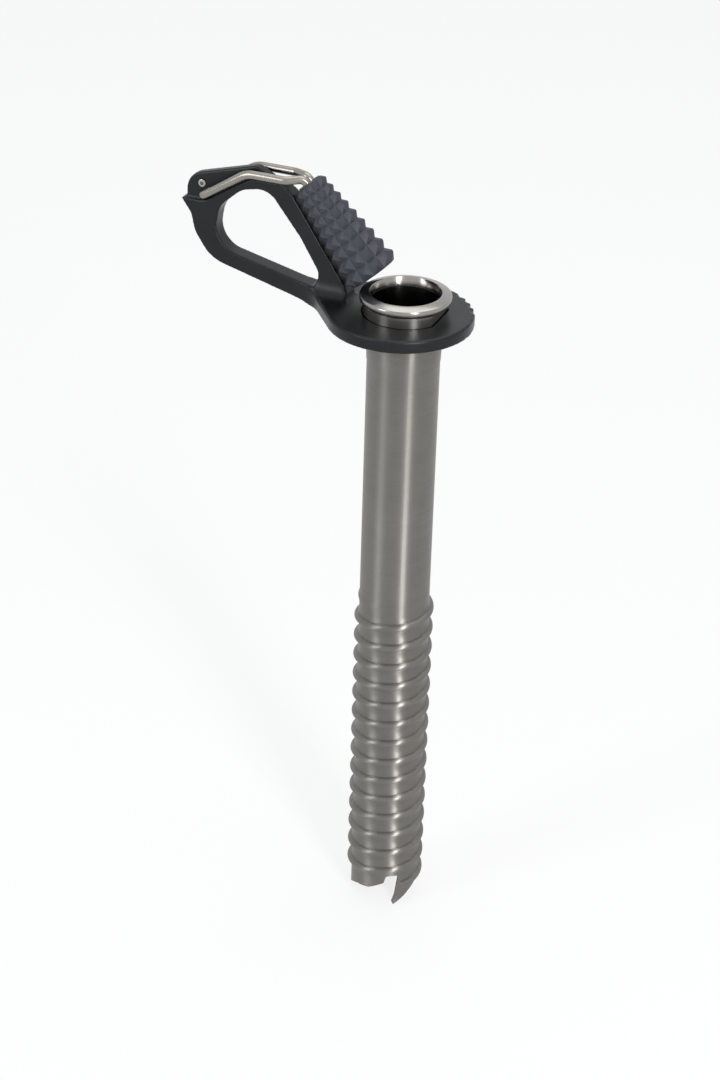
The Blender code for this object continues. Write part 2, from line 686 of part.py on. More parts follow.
def leg_route(side):
    """Corner points of one leg from its stub to the closed end: side -1 is the near leg, 1 the far."""
    def at(x, offset, z):
        return Vector((x, EYE_MID_Y + side * offset, z))

    beside = EYE_MID_Y - LEG_Y
    rise = FAR_LEG_RISE if side > 0 else 0.0
    top_z = LEG_TOP_Z + rise
    slope = math.tan(math.radians(LEG_ANGLE))
    knee_x = PIVOT.x + (LEG_TOP_Z - PIVOT.z) / slope
    mouth = GRIP_MOUTH - GRIP_AXIS * MOUTH_BEND_R * 0.8
    narrow = GRIP_MOUTH + GRIP_AXIS * (CHAMBER_START + LOOP_HALF - HAIRPIN_HALF)
    end = GRIP_MOUTH + GRIP_AXIS * LOOP_END
    points = [
        at(PIVOT.x, WEB_THICKNESS / 2 - STUB_DEPTH, PIVOT.z),
        at(PIVOT.x, beside, PIVOT.z),
        at(knee_x, beside, top_z),
        at(LEG_CONVERGE_X, beside, top_z),
        at(mouth.x, HAIRPIN_HALF, mouth.z),
        at(narrow.x, HAIRPIN_HALF, narrow.z),
        at(end.x, LOOP_HALF, end.z),
    ]
    radii = [STUB_BEND_R, LEG_BEND_R, LEG_BEND_R / 2, MOUTH_BEND_R, MOUTH_BEND_R]
    return points, radii


def make_crank_wire(parts, cutters):
    """Hairpin of round wire: two legs astride the web, closed inside the grip."""
    near, near_radii = leg_route(-1)
    far, far_radii = leg_route(1)
    start = GRIP_MOUTH + GRIP_AXIS * LOOP_END
    loop = []
    turns = 8
    for n in range(1, turns):
        angle = math.pi * n / turns
        side = Vector((0.0, -math.cos(angle), 0.0))
        loop.append(start + side * LOOP_HALF + GRIP_AXIS * LOOP_HALF * math.sin(angle))
    route = round_corners(near, near_radii, 3) + loop
    route += list(reversed(round_corners(far, far_radii, 3)))
    curve = bpy.data.curves.new("crank_wire", "CURVE")
    curve.dimensions = "3D"
    curve.bevel_depth = WIRE_R
    curve.bevel_resolution = 3
    curve.use_fill_caps = True
    spline = curve.splines.new("POLY")
    spline.points.add(len(route) - 1)
    for point, place in zip(spline.points, route):
        point.co = (*place, 1.0)
    wire = curve_to_mesh(new_object("crank_wire_route", curve, cutters), "crank_wire", parts)
    set_origin(wire, PIVOT)
    set_material(wire, material("stainless_wire", (0.66, 0.64, 0.61), 0.22, 1.0))
    shade(wire, 50.0)
    return wire


def grip_rotation():
    """Axes of the grip: Z along it towards its small end, Y across the hanger."""
    z = -GRIP_AXIS
    y = Vector((0.0, 1.0, 0.0))
    x = y.cross(z)
    return Matrix((x, y, z)).transposed()


def place_on_grip(target):
    target.matrix_world = Matrix.Translation(GRIP_MOUTH) @ grip_rotation().to_4x4()


def make_grip_core(parts):
    """Hard bush that turns on the hairpin, with a chamber for its closed end."""
    profile = [
        (CORE_R, CORE_PROUD),
        (CORE_R, -CHAMBER_START + CORE_WALL),
        (CHAMBER_WALL_R, -CHAMBER_START + CORE_WALL),
        (CHAMBER_WALL_R, -CHAMBER_END),
        (CHAMBER_R, -CHAMBER_END),
        (CHAMBER_R, -CHAMBER_START),
        (CORE_BORE_R, -CHAMBER_START),
        (CORE_BORE_R, CORE_PROUD),
    ]
    core = turned("grip_core", profile, 24, parts)
    place_on_grip(core)
    set_material(core, material("hard_plastic", (0.045, 0.047, 0.052), 0.45, 0.0))
    shade(core)
    return core


def row_heights():
    """Distances of the stud rows' borders from the small end, each row a little longer than the last."""
    first = GRIP_LENGTH * (STUD_ROW_GROWTH - 1) / (STUD_ROW_GROWTH ** STUD_ROWS - 1)
    heights = [0.0]
    for n in range(STUD_ROWS):
        heights.append(heights[-1] + first * STUD_ROW_GROWTH ** n)
    return heights


def make_grip_sleeve(parts, cutters):
    """Tapered rubber barrel covered in four-sided studs, closed by a dome at its large end."""
    valley_small = GRIP_SMALL_R - STUD_SMALL
    valley_large = GRIP_LARGE_R - STUD_LARGE
    mesh = bmesh.new()
    bmesh.ops.create_cone(mesh, cap_ends=True, segments=STUD_COLUMNS, radius1=valley_large,
                          radius2=valley_small, depth=GRIP_LENGTH,
                          matrix=Matrix.Translation((0.0, 0.0, -GRIP_LENGTH / 2)))
    heights = row_heights()
    for height in heights[1:-1]:
        everything = mesh.verts[:] + mesh.edges[:] + mesh.faces[:]
        bmesh.ops.bisect_plane(mesh, geom=everything, dist=1e-7,
                               plane_co=(0.0, 0.0, -height), plane_no=(0.0, 0.0, 1.0))
    dome = [face for face in mesh.faces if face.normal.z < -0.9]
    for share, rise in ((0.25, 0.62), (0.35, 0.30), (0.5, 0.08)):
        bmesh.ops.inset_region(mesh, faces=dome, thickness=valley_large * share, depth=GRIP_DOME * rise)
    rows = []
    for near, far in zip(heights, heights[1:]):
        middle = -(near + far) / 2
        rows.append([face for face in mesh.faces
                     if abs(face.calc_center_median().z - middle) < (far - near) / 4
                     and abs(face.normal.z) < 0.5])
    for n, faces in enumerate(rows):
        share = (heights[n] + heights[n + 1]) / 2 / GRIP_LENGTH
        stud = STUD_SMALL + (STUD_LARGE - STUD_SMALL) * share
        lost = (valley_small + (valley_large - valley_small) * share) * (1 - math.cos(math.pi / STUD_COLUMNS))
        bmesh.ops.poke(mesh, faces=faces, offset=stud + lost)
    data = bpy.data.meshes.new("grip_sleeve")
    mesh.to_mesh(data)
    mesh.free()
    sleeve = new_object("grip_sleeve", data, parts)
    pocket = turned("grip_pocket", [
        (CORE_R + SEAT_GAP / 2, 2 * SEAT_GAP),
        (CORE_R + SEAT_GAP / 2, -CHAMBER_START + CORE_WALL + SEAT_GAP),
        (CHAMBER_WALL_R + SEAT_GAP, -CHAMBER_START + CORE_WALL + SEAT_GAP),
        (CHAMBER_WALL_R + SEAT_GAP, -CHAMBER_END - SEAT_GAP),
        (0.0, -CHAMBER_END - SEAT_GAP),
        (0.0, 2 * SEAT_GAP),
    ], 24, cutters)
    boolean(sleeve, pocket, "DIFFERENCE")
    place_on_grip(sleeve)
    set_material(sleeve, material("studded_rubber", (0.060, 0.066, 0.082), 0.62, 0.0))
    return sleeve


def main():
    clear_scene()
    parts = new_collection("ice_screw")
    cutters = new_collection("cutters")
    make_screw_tube(parts, cutters)
    make_drive_collar(parts, cutters)
    make_head_ring(parts)
    make_hanger(parts, cutters)
    make_detent_pin(parts)
    make_crank_wire(parts, cutters)
    make_grip_core(parts)
    make_grip_sleeve(parts, cutters)


main()
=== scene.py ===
"""Looks for the ice climbing screw: threaded tube, head, hanger, wire crank and studded grip."""
import json
import math

import bmesh
import bpy
from bpy.props import FloatProperty, FloatVectorProperty, IntProperty, PointerProperty
from mathutils import Matrix, Vector

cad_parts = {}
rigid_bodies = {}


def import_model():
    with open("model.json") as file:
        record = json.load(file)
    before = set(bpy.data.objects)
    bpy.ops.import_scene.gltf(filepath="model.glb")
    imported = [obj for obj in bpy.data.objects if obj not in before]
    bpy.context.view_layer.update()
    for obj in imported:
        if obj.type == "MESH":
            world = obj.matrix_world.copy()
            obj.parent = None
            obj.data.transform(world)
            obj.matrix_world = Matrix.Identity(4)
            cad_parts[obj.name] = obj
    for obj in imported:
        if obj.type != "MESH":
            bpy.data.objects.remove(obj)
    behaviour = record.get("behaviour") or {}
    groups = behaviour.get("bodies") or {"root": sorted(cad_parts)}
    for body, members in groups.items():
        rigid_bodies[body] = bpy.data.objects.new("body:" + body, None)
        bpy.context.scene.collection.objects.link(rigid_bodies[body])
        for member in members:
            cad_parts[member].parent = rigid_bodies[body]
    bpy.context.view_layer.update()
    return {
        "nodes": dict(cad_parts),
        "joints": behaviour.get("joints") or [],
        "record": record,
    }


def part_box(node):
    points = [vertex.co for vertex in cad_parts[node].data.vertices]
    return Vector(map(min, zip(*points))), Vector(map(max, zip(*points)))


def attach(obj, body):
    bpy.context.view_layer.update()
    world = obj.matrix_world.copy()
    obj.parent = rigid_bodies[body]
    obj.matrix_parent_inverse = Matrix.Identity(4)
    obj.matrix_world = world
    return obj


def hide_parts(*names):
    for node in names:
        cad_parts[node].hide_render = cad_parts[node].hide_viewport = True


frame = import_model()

bl_info = {
    "name": "Ice Screw",
    "version": (1, 0, 0),
    "blender": (4, 5, 0),
    "location": "View3D > Sidebar > Ice Screw",
    "description": "Builds the dressed model of an ice climbing screw on its packed frame",
    "category": "Add Mesh",
}

JOINTS = {joint["name"]: joint for joint in frame["joints"]}
SLOT_COLOURS = {entry["slot"]: entry["base_color"][:3] for entry in frame["record"]["materials"]}
PIVOT = Vector(JOINTS["crank_fold"]["pos_m"])
GRIP_MOUTH = Vector(JOINTS["grip_spin"]["pos_m"])
GRIP_AXIS = Vector(JOINTS["grip_spin"]["axis"]).normalized()
TUBE_LENGTH = -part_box("screw_tube")[0].z
MID_Y = GRIP_MOUTH.y


# ---- Sizes and colours that a user would change ----

def length(name, text, value):
    return FloatProperty(name=name, description=text, default=value, min=0.0, precision=5,
                         subtype="DISTANCE", unit="LENGTH")


def colour(name, text, value):
    return FloatVectorProperty(name=name, description=text, default=value, size=3, min=0.0, max=1.0,
                               subtype="COLOR")


def share(name, text, value):
    return FloatProperty(name=name, description=text, default=value, min=0.0, max=1.0,
                         subtype="FACTOR")


class TubeSettings(bpy.types.PropertyGroup):
    radius: length("Tube radius", "Outside of the plain tube", 0.0085)
    bore: length("Bore radius", "Inside of the tube, where the ice core passes", 0.0069)
    shoulder: length("Shoulder radius", "Ring under the hanger", 0.00925)
    pitch: length("Thread pitch", "Distance between two turns of the ridge", 0.00558)
    ridge: length("Ridge radius", "Radius of the thread's round crest", 0.00095)
    crest: length("Crest height", "Height of the thread above the tube", 0.0012)
    turns: FloatProperty(name="Thread turns", description="Turns of the ridge", default=14.97,
                         min=1.0)
    start: length("Thread start", "Distance of the thread's upper end below the hanger", 0.0712)
    steps: IntProperty(name="Steps", description="Faces round the tube", default=96, min=24)
    steel: colour("Steel", "Colour of the tube", (0.205, 0.197, 0.184))
    roughness: share("Roughness", "How matt the tube is", 0.40)


class HeadSettings(bpy.types.PropertyGroup):
    rim: length("Rim radius", "Outside of the rim", 0.0106)
    collar: length("Collar radius", "Outside of the neck under the rim", 0.00995)
    flat: length("Collar flat", "Distance of each flat from the axis", 0.00855)
    steel: colour("Steel", "Colour of the head", (0.30, 0.288, 0.27))
    roughness: share("Roughness", "How matt the head is", 0.21)


class HangerSettings(bpy.types.PropertyGroup):
    base_thickness: length("Base thickness", "Thickness of the base plate", 0.0030)
    base_radius: length("Base radius", "Radius of the base plate", 0.0171)
    eye_thickness: length("Eye thickness", "Thickness of the carabiner eye", 0.0042)
    web: length("Web thickness", "Thickness of the nose between the wire legs", 0.0024)
    detail: length("Detail", "Size of the smallest face", 0.00026)
    anodised: colour("Anodised", "Colour of the hanger", (0.017, 0.0185, 0.0198))
    roughness: share("Roughness", "How matt the hanger is", 0.34)


class CrankSettings(bpy.types.PropertyGroup):
    wire: length("Wire radius", "Radius of the crank's wire", 0.0010)
    pin: length("Pin radius", "Radius of the detent pin", 0.00095)
    steel: colour("Steel", "Colour of the wire", (0.27, 0.255, 0.23))
    roughness: share("Roughness", "How matt the wire is", 0.26)
    pin_steel: colour("Pin steel", "Colour of the detent pin", (0.38, 0.37, 0.35))
    pin_roughness: share("Pin roughness", "How matt the detent pin is", 0.25)


class GripSettings(bpy.types.PropertyGroup):
    length: length("Grip length", "Length of the studded part", 0.02525)
    small: length("Small end radius", "Radius over the studs at the small end", 0.0040)
    large: length("Large end radius", "Radius over the studs at the large end", 0.0071)
    stud_small: length("Small stud", "Height of a stud at the small end", 0.00085)
    stud_large: length("Large stud", "Height of a stud at the large end", 0.0014)
    rows: IntProperty(name="Stud rows", description="Rows of studs along the grip", default=9,
                      min=3)
    columns: IntProperty(name="Stud columns", description="Studs round the grip", default=12,
                         min=6)
    rubber: colour("Rubber", "Colour of the grip", (0.024, 0.0275, 0.036))
    roughness: share("Roughness", "How matt the grip is", 0.55)


class StageSettings(bpy.types.PropertyGroup):
    floor: colour("Floor", "Colour of the floor", (0.95, 0.95, 0.95))
    surround: colour("Surround", "Colour of the light from all round", (0.36, 0.37, 0.385))
    key: FloatProperty(name="Key light", description="Power of the main softbox in watts",
                       default=11.0)
    fill: FloatProperty(name="Fill light", description="Power of each other softbox in watts",
                        default=4.0)
    lens: FloatProperty(name="Lens", description="Focal length in millimetres", default=84.55,
                        min=10.0)


# ---- Mesh tools ----

BEYOND = 0.02  # reach of a cutting block, past the faces of any piece that it cuts


def loose_object(name, bm):
    """An object of its own from a bmesh, closed and with its faces outwards."""
    bmesh.ops.remove_doubles(bm, verts=bm.verts, dist=1e-7)
    bmesh.ops.recalc_face_normals(bm, faces=bm.faces)
    mesh = bpy.data.meshes.new(name)
    bm.to_mesh(mesh)
    bm.free()
    made = bpy.data.objects.new(name, mesh)
    bpy.context.scene.collection.objects.link(made)
    return made


def finish_piece(piece, body, node, angle):
    """Smooth a piece where it bends less than an angle, and let it stand for a node of a body."""
    piece.data.shade_smooth()
    piece.data.set_sharp_from_angle(angle=math.radians(angle))
    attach(piece, body)
    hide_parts(node)
    return piece


def finish_mesh(bm, name, body, node, angle):
    return finish_piece(loose_object(name, bm), body, node, angle)


def give(piece, material):
    piece.data.materials.clear()
    piece.data.materials.append(material)


def drop(used):
    bpy.data.objects.remove(used, do_unlink=True)


def evaluated_mesh(target):
    """The mesh that an object has once its curve or its modifiers are worked out."""
    bpy.context.view_layer.update()
    graph = bpy.context.evaluated_depsgraph_get()
    return bpy.data.meshes.new_from_object(target.evaluated_get(graph), depsgraph=graph)


def bake_modifiers(target):
    mesh = evaluated_mesh(target)
    target.modifiers.clear()
    target.data = mesh


def combine(target, tool, operation):
    """Join, cut or intersect a piece with a tool, which is used up."""
    step = target.modifiers.new("step", "BOOLEAN")
    step.operation = operation
    step.object = tool
    bake_modifiers(target)
    drop(tool)


def curve_bmesh(curve):
    """The surface of a curve as a bmesh."""
    holder = bpy.data.objects.new(curve.name, curve)
    bpy.context.scene.collection.objects.link(holder)
    mesh = evaluated_mesh(holder)
    drop(holder)
    bm = bmesh.new()
    bm.from_mesh(mesh)
    return bm


def slice_mesh(bm, point, normal, clear=False):
    """Cut a bmesh along a plane and, if asked, clear away what lies past it."""
    bmesh.ops.bisect_plane(bm, geom=bm.verts[:] + bm.edges[:] + bm.faces[:], dist=1e-8,
                           plane_co=point, plane_no=normal, clear_outer=clear)


def ring_profile(bm, profile, steps):
    """Turn a closed profile of (radius, height) points a full turn about Z."""
    verts = [bm.verts.new((radius, 0.0, height)) for radius, height in profile]
    edges = [bm.edges.new(pair) for pair in zip(verts, verts[1:] + verts[:1])]
    bmesh.ops.spin(bm, geom=verts + edges, cent=(0, 0, 0), axis=(0, 0, 1), dvec=(0, 0, 0),
                   angle=2 * math.pi, steps=steps, use_merge=True, use_duplicate=False)


def round_route(points, radii, segments):
    """Replace each inner corner of a route by an arc of the given radius."""
    route = [points[0]]
    for before, corner, after, radius in zip(points, points[1:], points[2:], radii):
        back = (before - corner).normalized()
        ahead = (after - corner).normalized()
        half = back.angle(ahead) / 2
        centre = corner + (back + ahead).normalized() * radius / math.sin(half)
        first = corner + back * radius / math.tan(half) - centre
        last = corner + ahead * radius / math.tan(half) - centre
        axis = first.cross(last).normalized()
        for n in range(segments + 1):
            turn = Matrix.Rotation(first.angle(last) * n / segments, 3, axis)
            route.append(centre + turn @ first)
    route.append(points[-1])
    return route


def round_outline(corners, segments=8):
    """A closed flat outline from (x, y, radius) corners; a radius of 0 leaves a corner sharp."""
    points = [Vector((x, y, 0.0)) for x, y, _ in corners]
    outline = []
    for n, (x, y, radius) in enumerate(corners):
        if radius == 0.0:
            outline.append((x, y))
            continue
        ends = points[n - 1], points[n], points[(n + 1) % len(corners)]
        outline += [(point.x, point.y) for point in round_route(ends, [radius], segments)[1:-1]]
    return outline


def outline_solid(name, outlines, thickness, place):
    """A flat curve filled and given a thickness, made a mesh and put in place."""
    curve = bpy.data.curves.new(name, "CURVE")
    curve.dimensions = "2D"
    curve.fill_mode = "BOTH"
    curve.extrude = thickness / 2
    for outline in outlines:
        spline = curve.splines.new("POLY")
        spline.points.add(len(outline) - 1)
        for point, (x, y) in zip(spline.points, outline):
            point.co = (x, y, 0.0, 1.0)
        spline.use_cyclic_u = True
    bm = curve_bmesh(curve)
    bmesh.ops.remove_doubles(bm, verts=bm.verts, dist=1e-7)
    bmesh.ops.transform(bm, matrix=place, verts=bm.verts)
    return loose_object(name, bm)


def upright_solid(name, outlines, front, back):
    """Outlines drawn in the XZ plane, given a thickness along Y."""
    upright = Matrix.Rotation(math.pi / 2, 4, "X")
    place = Matrix.Translation((0.0, (front + back) / 2, 0.0)) @ upright
    return outline_solid(name, outlines, back - front, place)


def level_solid(name, outlines, bottom, top):
    """Outlines drawn in the XY plane, given a thickness along Z."""
    place = Matrix.Translation((0.0, 0.0, (bottom + top) / 2))
    return outline_solid(name, outlines, top - bottom, place)


def bar(name, radius, start, end, sides=48):
    """A round bar between two points."""
    bm = bmesh.new()
    turn = (end - start).to_track_quat("Z", "Y").to_matrix().to_4x4()
    bmesh.ops.create_cone(bm, cap_ends=True, segments=sides, radius1=radius, radius2=radius,
                          depth=(end - start).length,
                          matrix=Matrix.Translation((start + end) / 2) @ turn)
    return loose_object(name, bm)


# ---- Shader tools ----

def start_group(name, size_name, size_kind, size, depth):
    """A shader group that takes a place, a size and a depth, and puts out a mask and a normal."""
    group = bpy.data.node_groups.new(name, "ShaderNodeTree")
    for label, kind, direction, value in (
            ("Vector", "NodeSocketVector", "INPUT", None), (size_name, size_kind, "INPUT", size),
            ("Depth", "NodeSocketFloat", "INPUT", depth),
            ("Mask", "NodeSocketFloat", "OUTPUT", None),
            ("Normal", "NodeSocketVector", "OUTPUT", None)):
        socket = group.interface.new_socket(label, in_out=direction, socket_type=kind)
        if value is not None:
            socket.default_value = value
    return group, group.nodes.new("NodeGroupInput"), group.nodes.new("NodeGroupOutput")


def add_relief(group, start, end, detail, distance):
    """Noise inside a group: its mask, and its normal as shallow relief."""
    nodes, links = group.nodes, group.links
    noise = nodes.new("ShaderNodeTexNoise")
    noise.inputs["Detail"].default_value = detail
    bump = nodes.new("ShaderNodeBump")
    bump.inputs["Distance"].default_value = distance
    links.new(noise.outputs["Fac"], bump.inputs["Height"])
    links.new(start.outputs["Depth"], bump.inputs["Strength"])
    links.new(noise.outputs["Fac"], end.inputs["Mask"])
    links.new(bump.outputs["Normal"], end.inputs["Normal"])
    return noise


def make_grain_group():
    """Fine grain: a mask that varies over the surface and a normal with shallow pits."""
    group, start, end = start_group("fine_grain", "Scale", "NodeSocketFloat", 1500.0, 0.1)
    noise = add_relief(group, start, end, 4.0, 0.00005)
    group.links.new(start.outputs["Vector"], noise.inputs["Vector"])
    group.links.new(start.outputs["Scale"], noise.inputs["Scale"])
    return group


def make_lines_group():
    """Turning or brushing lines: noise that is stretched by the scales of the three axes."""
    group, start, end = start_group("brush_lines", "Stretch", "NodeSocketVector",
                                    (40.0, 40.0, 6000.0), 0.05)
    noise = add_relief(group, start, end, 3.0, 0.00003)
    noise.inputs["Scale"].default_value = 1.0
    scale = group.nodes.new("ShaderNodeVectorMath")
    scale.operation = "MULTIPLY"
    group.links.new(start.outputs["Vector"], scale.inputs[0])
    group.links.new(start.outputs["Stretch"], scale.inputs[1])
    group.links.new(scale.outputs["Vector"], noise.inputs["Vector"])
    return group


def place_group(nodes, links, place, name, maker, **values):
    """A shared group, placed in a material with the material's own values."""
    placed = nodes.new("ShaderNodeGroup")
    placed.node_tree = bpy.data.node_groups.get(name) or maker()
    for socket, value in values.items():
        placed.inputs[socket].default_value = value
    links.new(place.outputs["Object"], placed.inputs["Vector"])
    return placed


BORE_PAINTED_SHADE = (0.025, 0.024, 0.023)  # painted shade: the inside of the tube and head is coloured dark, standing in for the shade deep in a bore


def start_material(name):
    made = bpy.data.materials.new(name)
    made.use_nodes = True
    nodes, links = made.node_tree.nodes, made.node_tree.links
    return made, nodes, links, nodes["Principled BSDF"], nodes.new("ShaderNodeTexCoord")


def scaled(tone, factor, lift=0.0):
    return tuple(min(1.0, value * factor + lift) for value in tone)


def spread(nodes, links, mask, low, high):
    """A value between low and high that follows a mask, whose noise stays round its middle."""
    step = nodes.new("ShaderNodeMapRange")
    step.inputs["From Min"].default_value = 0.3
    step.inputs["From Max"].default_value = 0.7
    step.inputs["To Min"].default_value = low
    step.inputs["To Max"].default_value = high
    links.new(mask, step.inputs["Value"])
    return step.outputs["Result"]


def blend_colours(nodes, links, mask, first, second):
    mix = nodes.new("ShaderNodeMix")
    mix.data_type = "RGBA"
    mix.inputs["A"].default_value = (*first, 1.0)
    mix.inputs["B"].default_value = (*second, 1.0)
    links.new(mask, mix.inputs["Factor"])
    return mix.outputs["Result"]


def inside_mask(nodes, links, place, radius):
    """1 within a radius of the tube's axis and 0 outside it."""
    flat = nodes.new("ShaderNodeVectorMath")
    flat.operation = "MULTIPLY"
    flat.inputs[1].default_value = (1.0, 1.0, 0.0)
    reach = nodes.new("ShaderNodeVectorMath")
    reach.operation = "LENGTH"
    within = nodes.new("ShaderNodeMath")
    within.operation = "LESS_THAN"
    within.inputs[1].default_value = radius
    links.new(place.outputs["Object"], flat.inputs[0])
    links.new(flat.outputs["Vector"], reach.inputs[0])
    links.new(reach.outputs["Value"], within.inputs[0])
    return within.outputs["Value"]


def steel_material(name, tone, roughness, stretch, depth, painted_shade_radius=None, turned=0.0):
    """Turned or drawn steel: fine lines and broad cloudy changes of tone.

    Within a given radius of the tube's axis its colour is darkened as painted shade of the
    deep bore, and its gloss runs round the piece by the share turned.
    """
    made, nodes, links, shader, place = start_material(name)
    shader.inputs["Metallic"].default_value = 1.0
    shader.inputs["Anisotropic"].default_value = turned
    shader.inputs["Anisotropic Rotation"].default_value = 0.25
    lines = place_group(nodes, links, place, "brush_lines", make_lines_group, Stretch=stretch,
                        Depth=depth)
    cloud = place_group(nodes, links, place, "fine_grain", make_grain_group, Scale=180.0)
    worn, dull = scaled(tone, 1.12), scaled(tone, 0.90)
    tone_out = blend_colours(nodes, links, cloud.outputs["Mask"], dull, worn)
    if painted_shade_radius:
        # painted shade: inside the bore the colour is darkened, standing in for the shade there
        within = inside_mask(nodes, links, place, painted_shade_radius)
        bore = blend_colours(nodes, links, within, dull, BORE_PAINTED_SHADE)
        links.new(tone_out, bore.node.inputs["A"])
        tone_out = bore
    links.new(tone_out, shader.inputs["Base Color"])
    gloss = spread(nodes, links, lines.outputs["Mask"], roughness * 0.85, roughness * 1.2)
    links.new(gloss, shader.inputs["Roughness"])
    links.new(lines.outputs["Normal"], shader.inputs["Normal"])
    return made


def anodised_material(settings):
    """Blasted and anodised alloy: dark, finely grained, with slightly paler patches."""
    made, nodes, links, shader, place = start_material("dark_anodised")
    shader.inputs["Metallic"].default_value = 0.75
    shader.inputs["Specular IOR Level"].default_value = 0.4
    grain = place_group(nodes, links, place, "fine_grain", make_grain_group, Scale=5200.0,
                        Depth=0.18)
    cloud = place_group(nodes, links, place, "fine_grain", make_grain_group, Scale=140.0)
    deep, pale = scaled(settings.anodised, 0.85), scaled(settings.anodised, 1.35)
    tone_out = blend_colours(nodes, links, cloud.outputs["Mask"], deep, pale)
    links.new(tone_out, shader.inputs["Base Color"])
    rough = settings.roughness
    gloss = spread(nodes, links, grain.outputs["Mask"], rough - 0.05, rough + 0.07)
    links.new(gloss, shader.inputs["Roughness"])
    links.new(grain.outputs["Normal"], shader.inputs["Normal"])
    return made


def rubber_material(name, tone, roughness, grain_scale):
    """Moulded rubber or hard plastic: a fine mould grain and dusty paler spots."""
    made, nodes, links, shader, place = start_material(name)
    shader.inputs["Metallic"].default_value = 0.0
    shader.inputs["Specular IOR Level"].default_value = 0.4
    grain = place_group(nodes, links, place, "fine_grain", make_grain_group,
                        Scale=grain_scale, Depth=0.25)
    dusty = scaled(tone, 1.3, 0.004)
    tone_out = blend_colours(nodes, links, grain.outputs["Mask"], tuple(tone), dusty)
    links.new(tone_out, shader.inputs["Base Color"])
    gloss = spread(nodes, links, grain.outputs["Mask"], roughness - 0.06, roughness + 0.08)
    links.new(gloss, shader.inputs["Roughness"])
    links.new(grain.outputs["Normal"], shader.inputs["Normal"])
    return made


# ---- Tube ----

TOOTH_COUNT = 3
FIRST_TIP_ANGLE = math.radians(-51.7)
THREAD_END_ANGLE = math.radians(-60.0)
FADE_TOP, FADE_TIP = 0.7, 0.06  # turns over which the ridge rises out of the tube at its ends
RIDGE_REACH = 0.3  # share of the pitch, past which the tube between two turns is plain
RIDGE_FOOT = 0.00012  # softness of the corner between ridge and tube
# Heights at which the ridge's profile has points, as shares of the pitch from its crest
RIDGE_SHARES = (0.5, 0.36, 0.25, 0.2, 0.18, 0.165, 0.145, 0.12, 0.085, 0.045)
PLAIN_ABOVE = 0.006  # plain tube that is kept above the thread
SOCKET_DEPTH, SOCKET_STEP = 0.0018, 0.0010  # wider mouth of the bore, under the head


def tooth_gap_outline(radius):
    """The gap between two tips, laid flat: distance round the tube against height over the tips.

    From one tip's land it rises over the relief, the heel and the flat to the hooked top, and
    comes down the leaning front of the next tooth.
    """
    gap = 2 * math.pi * radius / TOOTH_COUNT
    land, relief, heel, flat = 0.00018, 0.0049, 0.0023, 0.0038
    top, width, corner = 0.0090, 0.0044, 0.0015
    lean = math.tan(math.radians(13.8))
    rise = relief * math.tan(math.radians(32.7))
    right = gap + (top - corner) * lean
    corners = [
        (land, -relief, 0.0),
        (land, 0.0, 0.0),
        (land + relief, rise, relief / 4),
        (land + relief + heel, rise + 0.00105, heel / 2),
        (land + relief + heel + flat, rise + 0.00165, corner),
        (right - width, (rise + 0.00165 + top) / 2, corner / 2),
        (right - width + corner / 3, top, corner / 2),
        (right + corner * lean, top, corner),
        (gap, 0.0, 0.0),
        (gap, -relief, 0.0),
    ]
    return round_outline(corners, 6)


def tooth_gap(radius, bore, index):
    """The gap wrapped round the tube as a solid to cut away."""
    inner, outer = bore * 0.7, radius * 1.4
    place = Matrix.Translation((0.0, 0.0, (inner + outer) / 2))
    flat = outline_solid("tooth_gap", [tooth_gap_outline(radius)], outer - inner, place)
    bm = bmesh.new()
    bm.from_mesh(flat.data)
    drop(flat)
    slices = 30
    gap = 2 * math.pi * radius / TOOTH_COUNT
    for n in range(1, slices):
        slice_mesh(bm, (gap * n / slices, 0, 0), (1, 0, 0))
    start = FIRST_TIP_ANGLE + 2 * math.pi * index / TOOTH_COUNT
    for vert in bm.verts:
        angle = start + vert.co.x / radius
        reach = vert.co.z
        vert.co = (reach * math.cos(angle), reach * math.sin(angle), vert.co.y - TUBE_LENGTH)
    return loose_object("tooth_gap", bm)


def wind_thread(bm, settings):
    """Turn one pitch of the ridge's profile along a helix, then fade the ridge at both ends."""
    radius, pitch = settings.radius, settings.pitch
    middle = radius + settings.crest - settings.ridge
    shares = [-part for part in RIDGE_SHARES] + [0.0] + list(reversed(RIDGE_SHARES))
    bottom = -settings.start - settings.turns * pitch
    under = 2
    profile = []
    for part in shares:
        offset = part * pitch
        crest = middle + math.sqrt(max(0.0, settings.ridge ** 2 - offset ** 2))
        soft = math.sqrt((crest - radius) ** 2 + RIDGE_FOOT ** 2) - RIDGE_FOOT
        rounded = 0.5 * (radius + crest + soft)
        reach = max(radius, rounded) if abs(part) < RIDGE_REACH else radius
        profile.append((reach, bottom - under * pitch + offset))
    turns = int(settings.turns) + 2 * under + 1
    steps = turns * settings.steps
    cos_start, sin_start = math.cos(THREAD_END_ANGLE), math.sin(THREAD_END_ANGLE)
    verts = [bm.verts.new((r * cos_start, r * sin_start, z)) for r, z in profile]
    edges = [bm.edges.new(pair) for pair in zip(verts, verts[1:])]
    bmesh.ops.spin(bm, geom=verts + edges, cent=(0, 0, 0), axis=(0, 0, 1),
                   dvec=(0, 0, turns * pitch / steps), angle=2 * math.pi * turns, steps=steps,
                   use_merge=False, use_duplicate=False)
    bmesh.ops.remove_doubles(bm, verts=bm.verts, dist=1e-6)
    for vert in bm.verts:
        reach = math.hypot(vert.co.x, vert.co.y)
        round_angle = (math.atan2(vert.co.y, vert.co.x) - THREAD_END_ANGLE) / (2 * math.pi)
        turn = round((vert.co.z - bottom) / pitch - round_angle) + round_angle
        above = min(1.0, max(0.0, (settings.turns - turn) / FADE_TOP))
        below = min(1.0, max(0.0, turn / FADE_TIP))
        swell = above ** 2 * (3 - 2 * above) * below ** 2 * (3 - 2 * below)
        wanted = radius + (reach - radius) * swell
        vert.co.x *= wanted / reach
        vert.co.y *= wanted / reach


